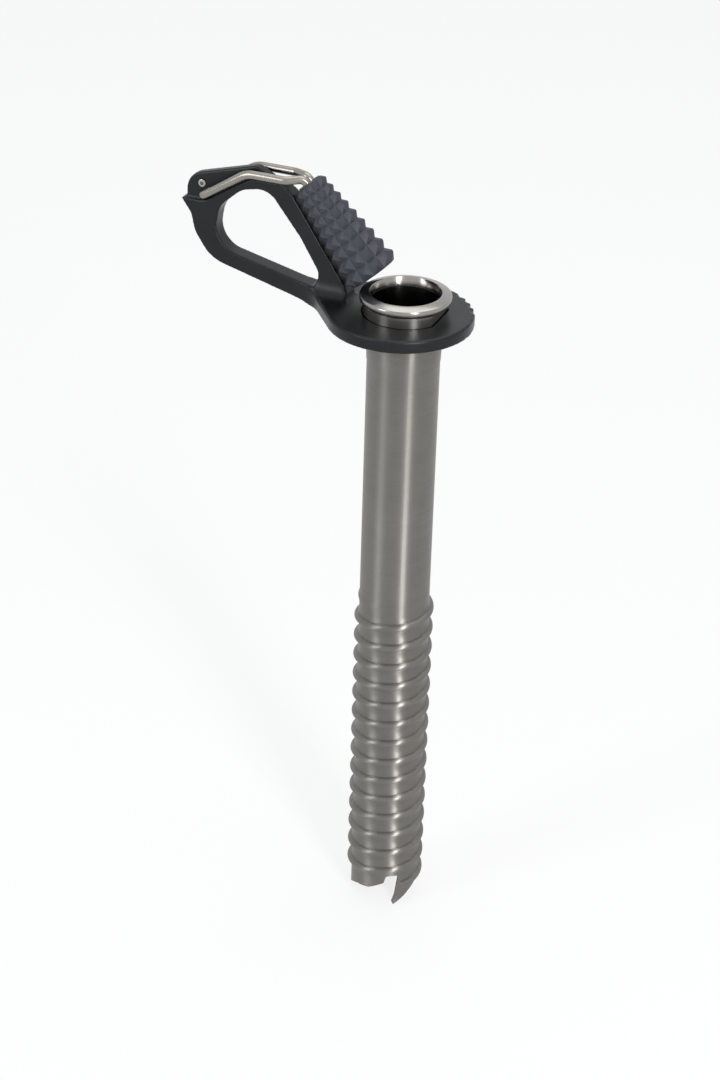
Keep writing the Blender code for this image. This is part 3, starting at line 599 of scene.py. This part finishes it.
def open_loop(bm, height):
    """The open edges that lie at one height."""
    return [edge for edge in bm.edges if edge.is_boundary
            and all(abs(vert.co.z - height) < 1e-6 for vert in edge.verts)]


def extend_loop(bm, edges, radius, height):
    """Extrude an open ring of edges to a new radius and height."""
    grown = bmesh.ops.extrude_edge_only(bm, edges=edges)["geom"]
    for vert in (item for item in grown if isinstance(item, bmesh.types.BMVert)):
        reach = math.hypot(vert.co.x, vert.co.y)
        vert.co = (vert.co.x * radius / reach, vert.co.y * radius / reach, height)
    return [item for item in grown if isinstance(item, bmesh.types.BMEdge)]


class ICESCREW_OT_tube(bpy.types.Operator):
    """Build the tube with its shoulder, thread and ground teeth"""
    bl_idname = "ice_screw.tube"
    bl_label = "Threaded Tube"

    def execute(self, context):
        settings = context.scene.ice_screw_tube
        radius, bore = settings.radius, settings.bore
        bm = bmesh.new()
        wind_thread(bm, settings)
        top = -settings.start + PLAIN_ABOVE
        for height, direction in ((top, 1), (-TUBE_LENGTH, -1)):
            slice_mesh(bm, (0, 0, height), (0, 0, direction), clear=True)
        bmesh.ops.remove_doubles(bm, verts=bm.verts, dist=1e-6)
        ring = open_loop(bm, top)
        shoulder, socket = settings.shoulder, bore + SOCKET_STEP
        # Up the outside over the neck's step and the shoulder, then down the inside to the tips
        for reach, height in (
                (radius, -0.0089), (radius + 0.0001, -0.0087), (radius + 0.00022, -0.0058),
                (radius + 0.0003, -0.0055), (radius + 0.0003, -0.0024),
                (shoulder - 0.0001, -0.0009), (shoulder, -0.0007), (shoulder, -0.00025),
                (shoulder - 0.00012, -0.0001), (socket, -0.0001), (socket, -SOCKET_DEPTH),
                (bore, -SOCKET_DEPTH), (bore, -0.1450), (bore, -TUBE_LENGTH)):
            ring = extend_loop(bm, ring, reach, height)
        outer = [edge for edge in open_loop(bm, -TUBE_LENGTH) if edge not in ring]
        bmesh.ops.bridge_loops(bm, edges=ring + outer)
        bmesh.ops.recalc_face_normals(bm, faces=bm.faces)
        tube = loose_object("tube_threaded", bm)
        for index in range(TOOTH_COUNT):
            combine(tube, tooth_gap(radius, bore, index), "DIFFERENCE")
        finish_piece(tube, "anchor", "screw_tube", 32.0)
        # the colour inside the tube's bore is darkened with painted shade
        give(tube, steel_material("turned_steel", settings.steel, settings.roughness,
                                  (60, 60, 9000), 0.05, bore + 0.0002, 0.95))
        return {"FINISHED"}


# ---- Head ----

RIM_TOP, RIM_FOOT = 0.0080, 0.00605
MOUTH = 0.00795  # radius of the head's opening
COLLAR_TOP, COLLAR_FOOT = 0.00575, 0.0013
PLUG, PLUG_FOOT, PLUG_BORE = 0.0076, -0.0015, 0.0069  # the collar's end inside the tube's socket


class ICESCREW_OT_head(bpy.types.Operator):
    """Build the rim and the drive collar with its two flats"""
    bl_idname = "ice_screw.head"
    bl_label = "Head"

    def execute(self, context):
        settings = context.scene.ice_screw_head
        # the colour inside the head's mouth is darkened with painted shade
        finish = steel_material("polished_steel", settings.steel, settings.roughness,
                                (90, 90, 9000), 0.012, MOUTH + 0.00001, 0.6)
        rim = settings.rim
        bm = bmesh.new()
        ring_profile(bm, [
            (0.00825, 0.00790), (0.00832, 0.00798), (0.00845, RIM_TOP), (0.0088, 0.00796),
            (rim - 0.00045, 0.00755), (rim - 0.00018, 0.00745), (rim - 0.00004, 0.00730),
            (rim, 0.0071), (rim, 0.0063), (rim - 0.00005, 0.00615), (rim - 0.0002, RIM_FOOT),
            (MOUTH, RIM_FOOT)], 128)
        ring = finish_mesh(bm, "rim", "anchor", "head_ring", 32.0)
        give(ring, finish)
        bm = bmesh.new()
        reach = settings.collar
        ring_profile(bm, [
            (reach - 0.0002, COLLAR_TOP), (reach, COLLAR_TOP - 0.0002),
            (reach, COLLAR_FOOT + 0.0002), (reach - 0.0002, COLLAR_FOOT), (PLUG, COLLAR_FOOT),
            (PLUG, PLUG_FOOT), (PLUG_BORE, PLUG_FOOT), (PLUG_BORE, 0.0006),
            (MOUTH, COLLAR_TOP)], 128)
        collar = loose_object("collar_work", bm)
        for side in (-1, 1):
            near, far = side * settings.flat, side * BEYOND
            block = [(near, -BEYOND), (far, -BEYOND), (far, BEYOND), (near, BEYOND)]
            combine(collar, level_solid("flat_cut", [block], 0.0006, 0.012), "DIFFERENCE")
        collar.name = "collar"
        finish_piece(collar, "anchor", "drive_collar", 30.0)
        give(collar, finish)
        return {"FINISHED"}


# ---- Hanger ----

JOIN = 0.00005  # small step that keeps the faces of two joined solids out of one plane
# Ends, hollow and front blend of the bend between the base and the eye
ROOT_RIGHT, ROOT_LEFT, ROOT_HOLLOW, ROOT_BLEND = -0.0139, -0.0232, 0.0040, 0.0090
NOSE_X = PIVOT.x - 0.0046
NOSE_TOP = PIVOT.z + 0.0091
LIP_REACH = 0.0011
LEG_ANGLE = math.radians(33.0)
LEDGE_Z = PIVOT.z - 0.0052 * math.tan(math.radians(3.0)) - 0.0013
LEG_TOP = GRIP_MOUTH.z + 0.0007
PIN_SPOT = PIVOT + Vector((-0.0006, 0.0, 0.0025))
# Corners of the eye and of its hole: shares of its length and height, and of that height for
# the radius
LOWER_LIMB = ((0.03, 0.0, 0.128), (0.152, 0.038, 0.32), (0.806, 0.215, 0.30),
              (0.929, 0.41, 0.22), (0.957, 0.545, 0.10))
NOSE_CORNERS = ((1.0, 0.84, 0.15), (0.451, 1.0, 0.064), (0.213, 0.866, 0.032))
HOLE_LOWER = ((0.787, 0.332, 0.198), (0.10, 0.166, 0.13), (-0.018, 0.15, 0.032))
HOLE_UPPER = ((0.56, 0.80, 0.192), (0.735, 0.64, 0.192))
BASE_SHIFT = 0.0012  # the base plate's middle lies this far from the axis, towards the eye
SERRATIONS, SERRATION_DEPTH = 4, 0.0008
SERRATION_START, SERRATION_STEP = math.radians(380.0), math.radians(10.0)
SEAT_RADIUS, SEAT_FLAT, SEAT_FLOOR, SEAT_TOP = 0.0102, 0.00885, 0.0010, 0.009
PLATE_HOLE, RELIEF_RADIUS, RELIEF_DEPTH = 0.0079, 0.00955, 0.0002
CROSS_PLAY = 0.00012  # room round the wire and the pin in their cross holes


def base_outline(settings, inset=0.0):
    """Round plate, serrated behind the head, its front flank curving into the lower limb."""
    radius, thick = settings.base_radius - inset, settings.eye_thickness
    front = JOIN + inset

    def touch(y, side):
        """The angle at which a line from the eye's root touches the round plate."""
        away = Vector((ROOT_LEFT + BASE_SHIFT, y))
        return math.atan2(away.y, away.x) + side * math.acos(settings.base_radius / away.length)

    start = touch(0.0, 1) % (2 * math.pi)
    end = touch(thick, -1) % (2 * math.pi) + 2 * math.pi
    left = ROOT_LEFT - ROOT_BLEND * 0.62
    outline = round_outline([
        (left, thick - front, 0.0), (left, front, 0.0), (ROOT_LEFT, front, ROOT_BLEND),
        (radius * math.cos(start) - BASE_SHIFT, radius * math.sin(start), 0.0)], 12)

    def add(angle, reach):
        outline.append((reach * math.cos(angle) - BASE_SHIFT, reach * math.sin(angle)))

    for n in range(1, 48):
        add(start + (SERRATION_START - start) * n / 48, radius)
    for n in range(SERRATIONS):
        add(SERRATION_START + SERRATION_STEP * n, radius)
        add(SERRATION_START + SERRATION_STEP * (n + 0.4), radius - SERRATION_DEPTH)
    last = SERRATION_START + SERRATION_STEP * SERRATIONS
    for n in range(17):
        add(last + (end - last) * n / 16, radius)
    return outline


def beside_grip(grip, part, inside=0.0):
    """A point on the limb's edge beside the folded grip, or inside it.

    It lies at a share, called part, of the grip's length.
    """
    reach = grip.small + (grip.large - grip.small) * part + 0.00045 + inside
    normal = Vector((GRIP_AXIS.z, 0.0, -GRIP_AXIS.x))
    point = GRIP_MOUTH + GRIP_AXIS * grip.length * part + normal * reach
    return point.x, point.z


def eye_corners(shares):
    """Corners from their shares of the eye's length and height."""
    return [(ROOT_LEFT - (ROOT_LEFT - NOSE_X) * along, NOSE_TOP * up, NOSE_TOP * radius)
            for along, up, radius in shares]


def eye_outline(grip, plate):
    """The eye's outside, from its root over the limb and the nose to the edge under the grip."""
    corners = [
        (ROOT_RIGHT, 0.0, 0.0), *eye_corners(LOWER_LIMB), (NOSE_X - LIP_REACH, LEDGE_Z, 0.0),
        (NOSE_X, LEDGE_Z, 0.0), *eye_corners(NOSE_CORNERS), (*beside_grip(grip, 0.0), 0.0),
        (*beside_grip(grip, 1.0), plate), (ROOT_RIGHT, plate, 0.0)]
    return round_outline(corners, 20)


def hole_outline(grip, plate):
    """The opening that takes a carabiner."""
    corners = [
        *eye_corners(HOLE_LOWER), (*beside_grip(grip, 0.72, 0.0042), plate),
        (*beside_grip(grip, 0.35, 0.0038), 0.0152), (*beside_grip(grip, -0.17, 0.0049), 0.0049),
        *eye_corners(HOLE_UPPER)]
    return round_outline(corners, 20)


def recess_outline(wire, margin):
    """The thinned side of the nose, bounded by the ledge and the folded wire leg."""
    reach = wire + 0.00035
    foot_x = PIVOT.x + reach * math.sin(LEG_ANGLE)
    foot_z = PIVOT.z - reach * math.cos(LEG_ANGLE)
    floor = LEG_TOP - reach
    knee_x = foot_x + (floor - foot_z) / math.tan(LEG_ANGLE)
    return round_outline([
        (NOSE_X - margin, LEDGE_Z, 0.0),
        (PIVOT.x - wire, LEDGE_Z, wire / 2),
        (foot_x, foot_z, 0.0012),
        (knee_x, floor, 0.0060 + reach),
        (GRIP_MOUTH.x, floor, 0.0),
        (GRIP_MOUTH.x, NOSE_TOP + margin, 0.0),
        (NOSE_X - margin, NOSE_TOP + margin, 0.0),
    ])


def root_fillet(settings, grip):
    """The bend between base and eye: a hollow fillet from the base's side to the limb's edge."""
    low, high = settings.base_thickness, settings.base_thickness + ROOT_HOLLOW
    left, right = -3 * BEYOND, 3 * BEYOND
    root = level_solid("root", [base_outline(settings, JOIN)], low / 2, high)
    room = [(left, -ROOT_HOLLOW), (ROOT_RIGHT, -ROOT_HOLLOW), (ROOT_RIGHT, 0.0008),
            (left, 0.0008)]
    combine(root, level_solid("room", [room], 0.0, 2 * high), "INTERSECT")
    hollow = bar("hollow", ROOT_HOLLOW, Vector((left, -ROOT_HOLLOW, high)),
                 Vector((right, -ROOT_HOLLOW, high)), 128)
    combine(root, hollow, "DIFFERENCE")
    side = [beside_grip(grip, 0.0, JOIN), beside_grip(grip, 1.0, JOIN), (ROOT_RIGHT - JOIN, low),
            (right, low), (right, NOSE_TOP)]
    for outline in (hole_outline(grip, low), side):
        combine(root, upright_solid("side", [outline], -BEYOND, BEYOND), "DIFFERENCE")
    return root


def soften(target, detail, rounds):
    """Give the joined forging an even skin and round its edges."""
    skin = target.modifiers.new("skin", "REMESH")
    skin.mode = "VOXEL"
    skin.voxel_size = detail
    bake_modifiers(target)
    bm = bmesh.new()
    bm.from_mesh(target.data)
    for _ in range(rounds):
        bmesh.ops.smooth_vert(bm, verts=bm.verts, factor=0.5, use_axis_x=True,
                              use_axis_y=True, use_axis_z=True)
    bm.to_mesh(target.data)
    bm.free()


class ICESCREW_OT_hanger(bpy.types.Operator):
    """Build the forged hanger: base plate, filleted root and carabiner eye"""
    bl_idname = "ice_screw.hanger"
    bl_label = "Hanger"

    def execute(self, context):
        settings = context.scene.ice_screw_hanger
        crank = context.scene.ice_screw_crank
        grip = context.scene.ice_screw_grip
        thick, low = settings.eye_thickness, settings.base_thickness
        web_front = MID_Y - settings.web / 2
        web_back = MID_Y + settings.web / 2
        hanger = level_solid("hanger_forged", [base_outline(settings)], 0.0, low)
        rise = [(x, z) for x, z, _ in eye_corners(LOWER_LIMB[:3])]
        under = [(rise[0][0], -low), rise[0], *[(x, z + JOIN) for x, z in rise[1:]],
                 (rise[-1][0], -low)]
        combine(hanger, upright_solid("under", [under], -BEYOND, BEYOND), "DIFFERENCE")
        eye = upright_solid("eye", [eye_outline(grip, low), hole_outline(grip, low)], 0.0, thick)
        thinned = recess_outline(crank.wire, thick)
        for near, far in ((-thick, web_front), (web_back, 2 * thick)):
            combine(eye, upright_solid("recess", [thinned], near, far), "DIFFERENCE")
        combine(hanger, root_fillet(settings, grip), "UNION")
        combine(hanger, eye, "UNION")
        soften(hanger, settings.detail, 6)
        flat_angle = math.acos(SEAT_FLAT / SEAT_RADIUS)
        angles = [flat_angle + 2 * (math.pi - flat_angle) * n / 120 for n in range(121)]
        seat = [(SEAT_RADIUS * math.cos(angle), SEAT_RADIUS * math.sin(angle))
                for angle in angles]
        combine(hanger, level_solid("seat", [seat], SEAT_FLOOR, SEAT_TOP), "DIFFERENCE")
        below = Vector((0, 0, -low))
        for radius, top in ((PLATE_HOLE, low), (RELIEF_RADIUS, RELIEF_DEPTH)):
            combine(hanger, bar("hole", radius, below, Vector((0, 0, top)), 128), "DIFFERENCE")
        through = Vector((0.0, thick, 0.0))
        for reach, spot in ((crank.wire, PIVOT), (crank.pin, PIN_SPOT)):
            cross = bar("cross_hole", reach + CROSS_PLAY, spot - through, spot + through)
            combine(hanger, cross, "DIFFERENCE")
        finish_piece(hanger, "anchor", "hanger", 50.0)
        give(hanger, anodised_material(settings))
        return {"FINISHED"}


# ---- Crank ----

LEG_GAP = 0.0006  # between a leg and the nose of the hanger
LEGS_CLOSE, CLOSED_END = 0.00105, 0.00175  # a leg's distance from the grip's axis, and at the end
PIN_HOLE = 0.00045


def leg_route(side, wire, web):
    """Corner points of one leg from its stub in the web to the closed end inside the grip."""
    beside = web / 2 + LEG_GAP + wire
    top = LEG_TOP + (0.0002 if side > 0 else 0.0)
    knee_x = PIVOT.x + (LEG_TOP - PIVOT.z) / math.tan(LEG_ANGLE)
    mouth = GRIP_MOUTH - GRIP_AXIS * 0.00144
    narrow = GRIP_MOUTH + GRIP_AXIS * 0.01905
    end = GRIP_MOUTH + GRIP_AXIS * 0.0203
    spots = [
        (PIVOT.x, web / 2 - 0.0010, PIVOT.z), (PIVOT.x, beside, PIVOT.z), (knee_x, beside, top),
        (GRIP_MOUTH.x - 0.0046, beside, top), (mouth.x, LEGS_CLOSE, mouth.z),
        (narrow.x, LEGS_CLOSE, narrow.z), (end.x, CLOSED_END, end.z)]
    points = [Vector((x, MID_Y + side * offset, z)) for x, offset, z in spots]
    return points, [0.0012, 0.0060, 0.0030, 0.0018, 0.0018]


class ICESCREW_OT_crank(bpy.types.Operator):
    """Build the hairpin wire of the folding crank and the pin beside its pivot"""
    bl_idname = "ice_screw.crank"
    bl_label = "Wire Crank"

    def execute(self, context):
        settings = context.scene.ice_screw_crank
        web = context.scene.ice_screw_hanger.web
        near, radii = leg_route(-1, settings.wire, web)
        far, _ = leg_route(1, settings.wire, web)
        end = Vector((near[-1].x, MID_Y, near[-1].z))
        loop = []
        for n in range(1, 16):
            angle = math.pi * n / 16
            aside = Vector((0, -CLOSED_END * math.cos(angle), 0))
            loop.append(end + aside + GRIP_AXIS * CLOSED_END * math.sin(angle))
        route = round_route(near, radii, 8) + loop + list(reversed(round_route(far, radii, 8)))
        curve = bpy.data.curves.new("crank_route", "CURVE")
        curve.dimensions = "3D"
        curve.bevel_depth = settings.wire
        curve.bevel_resolution = 6
        curve.use_fill_caps = True
        spline = curve.splines.new("POLY")
        spline.points.add(len(route) - 1)
        for point, place in zip(spline.points, route):
            point.co = (*place, 1.0)
        bm = curve_bmesh(curve)
        bmesh.ops.remove_doubles(bm, verts=bm.verts, dist=1e-6)
        wire = finish_mesh(bm, "crank_hairpin", "crank", "crank_wire", 50.0)
        give(wire, steel_material("drawn_wire", settings.steel, settings.roughness,
                                  (120, 120, 120), 0.004))
        bm = bmesh.new()
        half, reach = web / 2 + 0.00022, settings.pin
        ring_profile(bm, [
            (PIN_HOLE, half), (reach - 0.00018, half), (reach - 0.00005, half - 0.00005),
            (reach, half - 0.00018), (reach, 0.00018 - half), (reach - 0.00005, 0.00005 - half),
            (reach - 0.00018, -half), (PIN_HOLE, -half)], 48)
        across = Matrix.Translation(PIN_SPOT) @ Matrix.Rotation(math.pi / 2, 4, "X")
        bmesh.ops.transform(bm, matrix=across, verts=bm.verts)
        pin = finish_mesh(bm, "pin_bright", "anchor", "detent_pin", 30.0)
        give(pin, steel_material("pin_steel", settings.pin_steel, settings.pin_roughness,
                                 (3000, 3000, 3000), 0.03))
        return {"FINISHED"}


# ---- Grip ----

STUD_GROWTH = 1.052  # each row of studs is longer than the last by this factor
STUD_EDGE = 0.00016
# The rounded large end: how far each ring is set in and pushed out, as shares
DOME_RINGS, DOME_HEIGHT = ((0.25, 0.62), (0.35, 0.30), (0.5, 0.08)), 0.0002
# The hollow for the core, as radii and heights along the grip's axis from its mouth
HOLLOW = ((0.0, 0.0006), (0.0029, 0.0006), (0.0029, -0.01745), (0.00385, -0.01745),
          (0.00385, -0.02355), (0.0, -0.02355))


class ICESCREW_OT_grip(bpy.types.Operator):
    """Build the studded grip and finish its core"""
    bl_idname = "ice_screw.grip"
    bl_label = "Studded Grip"

    def execute(self, context):
        settings = context.scene.ice_screw_grip
        stud_small, stud_large = settings.stud_small, settings.stud_large
        valley_small, valley_large = settings.small - stud_small, settings.large - stud_large
        columns, rows = settings.columns, settings.rows
        bm = bmesh.new()
        lowered = Matrix.Translation((0, 0, -settings.length / 2))
        bmesh.ops.create_cone(bm, cap_ends=True, segments=columns, radius1=valley_large,
                              radius2=valley_small, depth=settings.length, matrix=lowered)
        first = settings.length * (STUD_GROWTH - 1) / (STUD_GROWTH ** rows - 1)
        heights = [0.0]
        for n in range(rows):
            heights.append(heights[-1] + first * STUD_GROWTH ** n)
        for height in heights[1:-1]:
            slice_mesh(bm, (0, 0, -height), (0, 0, 1))
        dome = [face for face in bm.faces if face.normal.z < -0.9]
        for inset, rise in DOME_RINGS:
            bmesh.ops.inset_region(bm, faces=dome, thickness=valley_large * inset,
                                   depth=DOME_HEIGHT * rise)
        tips = []
        for near, far in zip(heights, heights[1:]):
            middle = -(near + far) / 2
            faces = [face for face in bm.faces if abs(face.normal.z) < 0.5
                     and abs(face.calc_center_median().z - middle) < (far - near) / 4]
            part = -middle / settings.length
            valley = valley_small + (valley_large - valley_small) * part
            lost = valley * (1 - math.cos(math.pi / columns))
            stud = stud_small + (stud_large - stud_small) * part
            tips += bmesh.ops.poke(bm, faces=faces, offset=stud + lost)["verts"]
        ridges = list({edge for vert in tips for edge in vert.link_edges})
        bmesh.ops.bevel(bm, geom=ridges, offset=STUD_EDGE, offset_type="OFFSET", segments=2,
                        profile=0.5, affect="EDGES", material=-1, clamp_overlap=True)
        turn_z = -GRIP_AXIS
        turn_y = Vector((0.0, 1.0, 0.0))
        turn = Matrix((turn_y.cross(turn_z), turn_y, turn_z)).transposed().to_4x4()
        place = Matrix.Translation(GRIP_MOUTH) @ turn
        bmesh.ops.transform(bm, matrix=place, verts=bm.verts)
        sleeve = loose_object("grip_studs", bm)
        hollow = bmesh.new()
        ring_profile(hollow, HOLLOW, 64)
        bmesh.ops.transform(hollow, matrix=place, verts=hollow.verts)
        combine(sleeve, loose_object("hollow", hollow), "DIFFERENCE")
        finish_piece(sleeve, "grip", "grip_sleeve", 25.0)
        give(sleeve, rubber_material("studded_rubber", settings.rubber, settings.roughness,
                                     2600.0))
        core = frame["nodes"]["grip_core"]
        give(core, rubber_material("hard_plastic", SLOT_COLOURS["hard_plastic"], 0.45, 1800.0))
        return {"FINISHED"}


# ---- Stage ----

FLOOR_WHITE = 0.8  # share of white in the floor that the camera and metal see; the rest is lit
# The camera's place in metres and its turn, fitted to the photo
CAMERA_PLACE, CAMERA_HEADING = (0.18952, -0.49371, 0.24427), math.radians(21.0)
CAMERA_LIFT, CAMERA_ROLL = math.radians(29.68), math.radians(2.162)
CAMERA_ASIDE = math.atan(36.61 / 2536.6)  # pixels beside the middle, over the lens in pixels


def softbox(name, place, aim, size, power, tint=(1.0, 1.0, 1.0)):
    """A rectangular area lamp that looks at a point."""
    light = bpy.data.lights.new(name, "AREA")
    light.shape = "RECTANGLE"
    light.size, light.size_y = size
    light.energy = power
    light.color = tint
    made = bpy.data.objects.new(name, light)
    made.location = place
    made.rotation_euler = (Vector(aim) - Vector(place)).to_track_quat("-Z", "Y").to_euler()
    bpy.context.scene.collection.objects.link(made)


def background_rays(nodes, links):
    """1 for the rays that show the background: to the camera, off metal and through glass."""
    path = nodes.new("ShaderNodeLightPath")
    seen = path.outputs["Is Camera Ray"]
    for kind in ("Is Glossy Ray", "Is Transmission Ray"):
        either = nodes.new("ShaderNodeMath")
        either.operation = "MAXIMUM"
        links.new(seen, either.inputs[0])
        links.new(path.outputs[kind], either.inputs[1])
        seen = either.outputs["Value"]
    return seen


def floor_material(tone):
    """Pale matt floor that keeps the object's shadow."""
    made = bpy.data.materials.new("pale_floor")
    made.use_nodes = True
    shader = made.node_tree.nodes["Principled BSDF"]
    shader.inputs["Roughness"].default_value = 0.9
    shader.inputs["Specular IOR Level"].default_value = 0.0
    shader.inputs["Base Color"].default_value = (*tone, 1.0)
    nodes, links = made.node_tree.nodes, made.node_tree.links
    white = nodes.new("ShaderNodeEmission")
    strength = nodes.new("ShaderNodeMath")
    strength.operation = "MULTIPLY"
    strength.inputs[1].default_value = FLOOR_WHITE
    mix = nodes.new("ShaderNodeMixShader")
    links.new(background_rays(nodes, links), strength.inputs[0])
    links.new(strength.outputs["Value"], mix.inputs["Fac"])
    links.new(shader.outputs["BSDF"], mix.inputs[1])
    links.new(white.outputs["Emission"], mix.inputs[2])
    links.new(mix.outputs["Shader"], nodes["Material Output"].inputs["Surface"])
    return made


class ICESCREW_OT_stage(bpy.types.Operator):
    """Set up the pale floor, the soft studio light and the camera"""
    bl_idname = "ice_screw.stage"
    bl_label = "Studio Stage"

    def execute(self, context):
        settings = context.scene.ice_screw_stage
        scene = context.scene
        scene.view_settings.view_transform = "Standard"
        bm = bmesh.new()
        bmesh.ops.create_grid(bm, x_segments=8, y_segments=8, size=6.0,
                              matrix=Matrix.Translation((0, 0, -TUBE_LENGTH - 0.0002)))
        mesh = bpy.data.meshes.new("floor")
        bm.to_mesh(mesh)
        bm.free()
        floor = bpy.data.objects.new("floor", mesh)
        scene.collection.objects.link(floor)
        give(floor, floor_material(settings.floor))

        softbox("key_softbox", (0.75, -0.75, 0.42), (0, 0, 0.05), (0.20, 1.2), settings.key)
        softbox("fill_softbox", (-0.60, -0.82, 0.40), (0, 0, 0.0), (0.35, 0.6), settings.fill,
                (0.92, 0.96, 1.0))
        softbox("top_softbox", (0.0, 0.3, 1.0), (0, 0, 0), (0.9, 0.9), settings.fill)

        world = bpy.data.worlds.new("studio")
        scene.world = world
        world.use_nodes = True
        nodes, links = world.node_tree.nodes, world.node_tree.links
        mix = nodes.new("ShaderNodeMix")
        mix.data_type = "RGBA"
        mix.inputs["A"].default_value = (*settings.surround, 1.0)
        mix.inputs["B"].default_value = (1.0, 1.0, 1.0, 1.0)
        links.new(background_rays(nodes, links), mix.inputs["Factor"])
        links.new(mix.outputs["Result"], nodes["Background"].inputs["Color"])

        camera = bpy.data.objects.new("camera", bpy.data.cameras.new("camera"))
        camera.data.lens = settings.lens
        camera.data.sensor_width = 36.0
        camera.data.clip_start = 0.01
        scene.collection.objects.link(camera)
        ahead = Vector((0.0, math.cos(CAMERA_LIFT), -math.sin(CAMERA_LIFT)))
        right = Vector((1.0, 0.0, 0.0))
        up = right.cross(ahead)
        right, up = (math.cos(CAMERA_ROLL) * right + math.sin(CAMERA_ROLL) * up,
                     math.cos(CAMERA_ROLL) * up - math.sin(CAMERA_ROLL) * right)
        forward = math.cos(CAMERA_ASIDE) * ahead - math.sin(CAMERA_ASIDE) * right
        right = math.cos(CAMERA_ASIDE) * right + math.sin(CAMERA_ASIDE) * ahead
        turn = Matrix.Rotation(CAMERA_HEADING, 3, "Z")
        axes = Matrix((turn @ right, turn @ up, turn @ -forward)).transposed().to_4x4()
        camera.matrix_world = Matrix.Translation(CAMERA_PLACE) @ axes
        scene.camera = camera
        return {"FINISHED"}


# ---- Panel and registration ----

class ICESCREW_PT_panel(bpy.types.Panel):
    """Lists the build steps with their sizes and colours"""
    bl_idname = "ICESCREW_PT_panel"
    bl_label = "Ice Screw"
    bl_space_type = "VIEW_3D"
    bl_region_type = "UI"
    bl_category = "Ice Screw"

    def draw(self, context):
        layout = self.layout
        for step, _, settings in STEPS:
            box = layout.box()
            box.operator(step.bl_idname)
            group = getattr(context.scene, settings)
            for name in group.__annotations__:
                box.prop(group, name)


STEPS = (
    (ICESCREW_OT_stage, StageSettings, "ice_screw_stage"),
    (ICESCREW_OT_tube, TubeSettings, "ice_screw_tube"),
    (ICESCREW_OT_head, HeadSettings, "ice_screw_head"),
    (ICESCREW_OT_hanger, HangerSettings, "ice_screw_hanger"),
    (ICESCREW_OT_crank, CrankSettings, "ice_screw_crank"),
    (ICESCREW_OT_grip, GripSettings, "ice_screw_grip"),
)


def register():
    for operator, group, name in STEPS:
        bpy.utils.register_class(group)
        bpy.utils.register_class(operator)
        setattr(bpy.types.Scene, name, PointerProperty(type=group))
    bpy.utils.register_class(ICESCREW_PT_panel)


def unregister():
    bpy.utils.unregister_class(ICESCREW_PT_panel)
    for operator, group, name in reversed(STEPS):
        delattr(bpy.types.Scene, name)
        bpy.utils.unregister_class(operator)
        bpy.utils.unregister_class(group)


def main():
    for existing in list(bpy.data.objects):
        if existing.type in {"CAMERA", "LIGHT"}:
            bpy.data.objects.remove(existing, do_unlink=True)
    register()
    bpy.ops.ice_screw.stage()
    bpy.ops.ice_screw.tube()
    bpy.ops.ice_screw.head()
    bpy.ops.ice_screw.hanger()
    bpy.ops.ice_screw.crank()
    bpy.ops.ice_screw.grip()


if __name__ == "__main__":
    main()
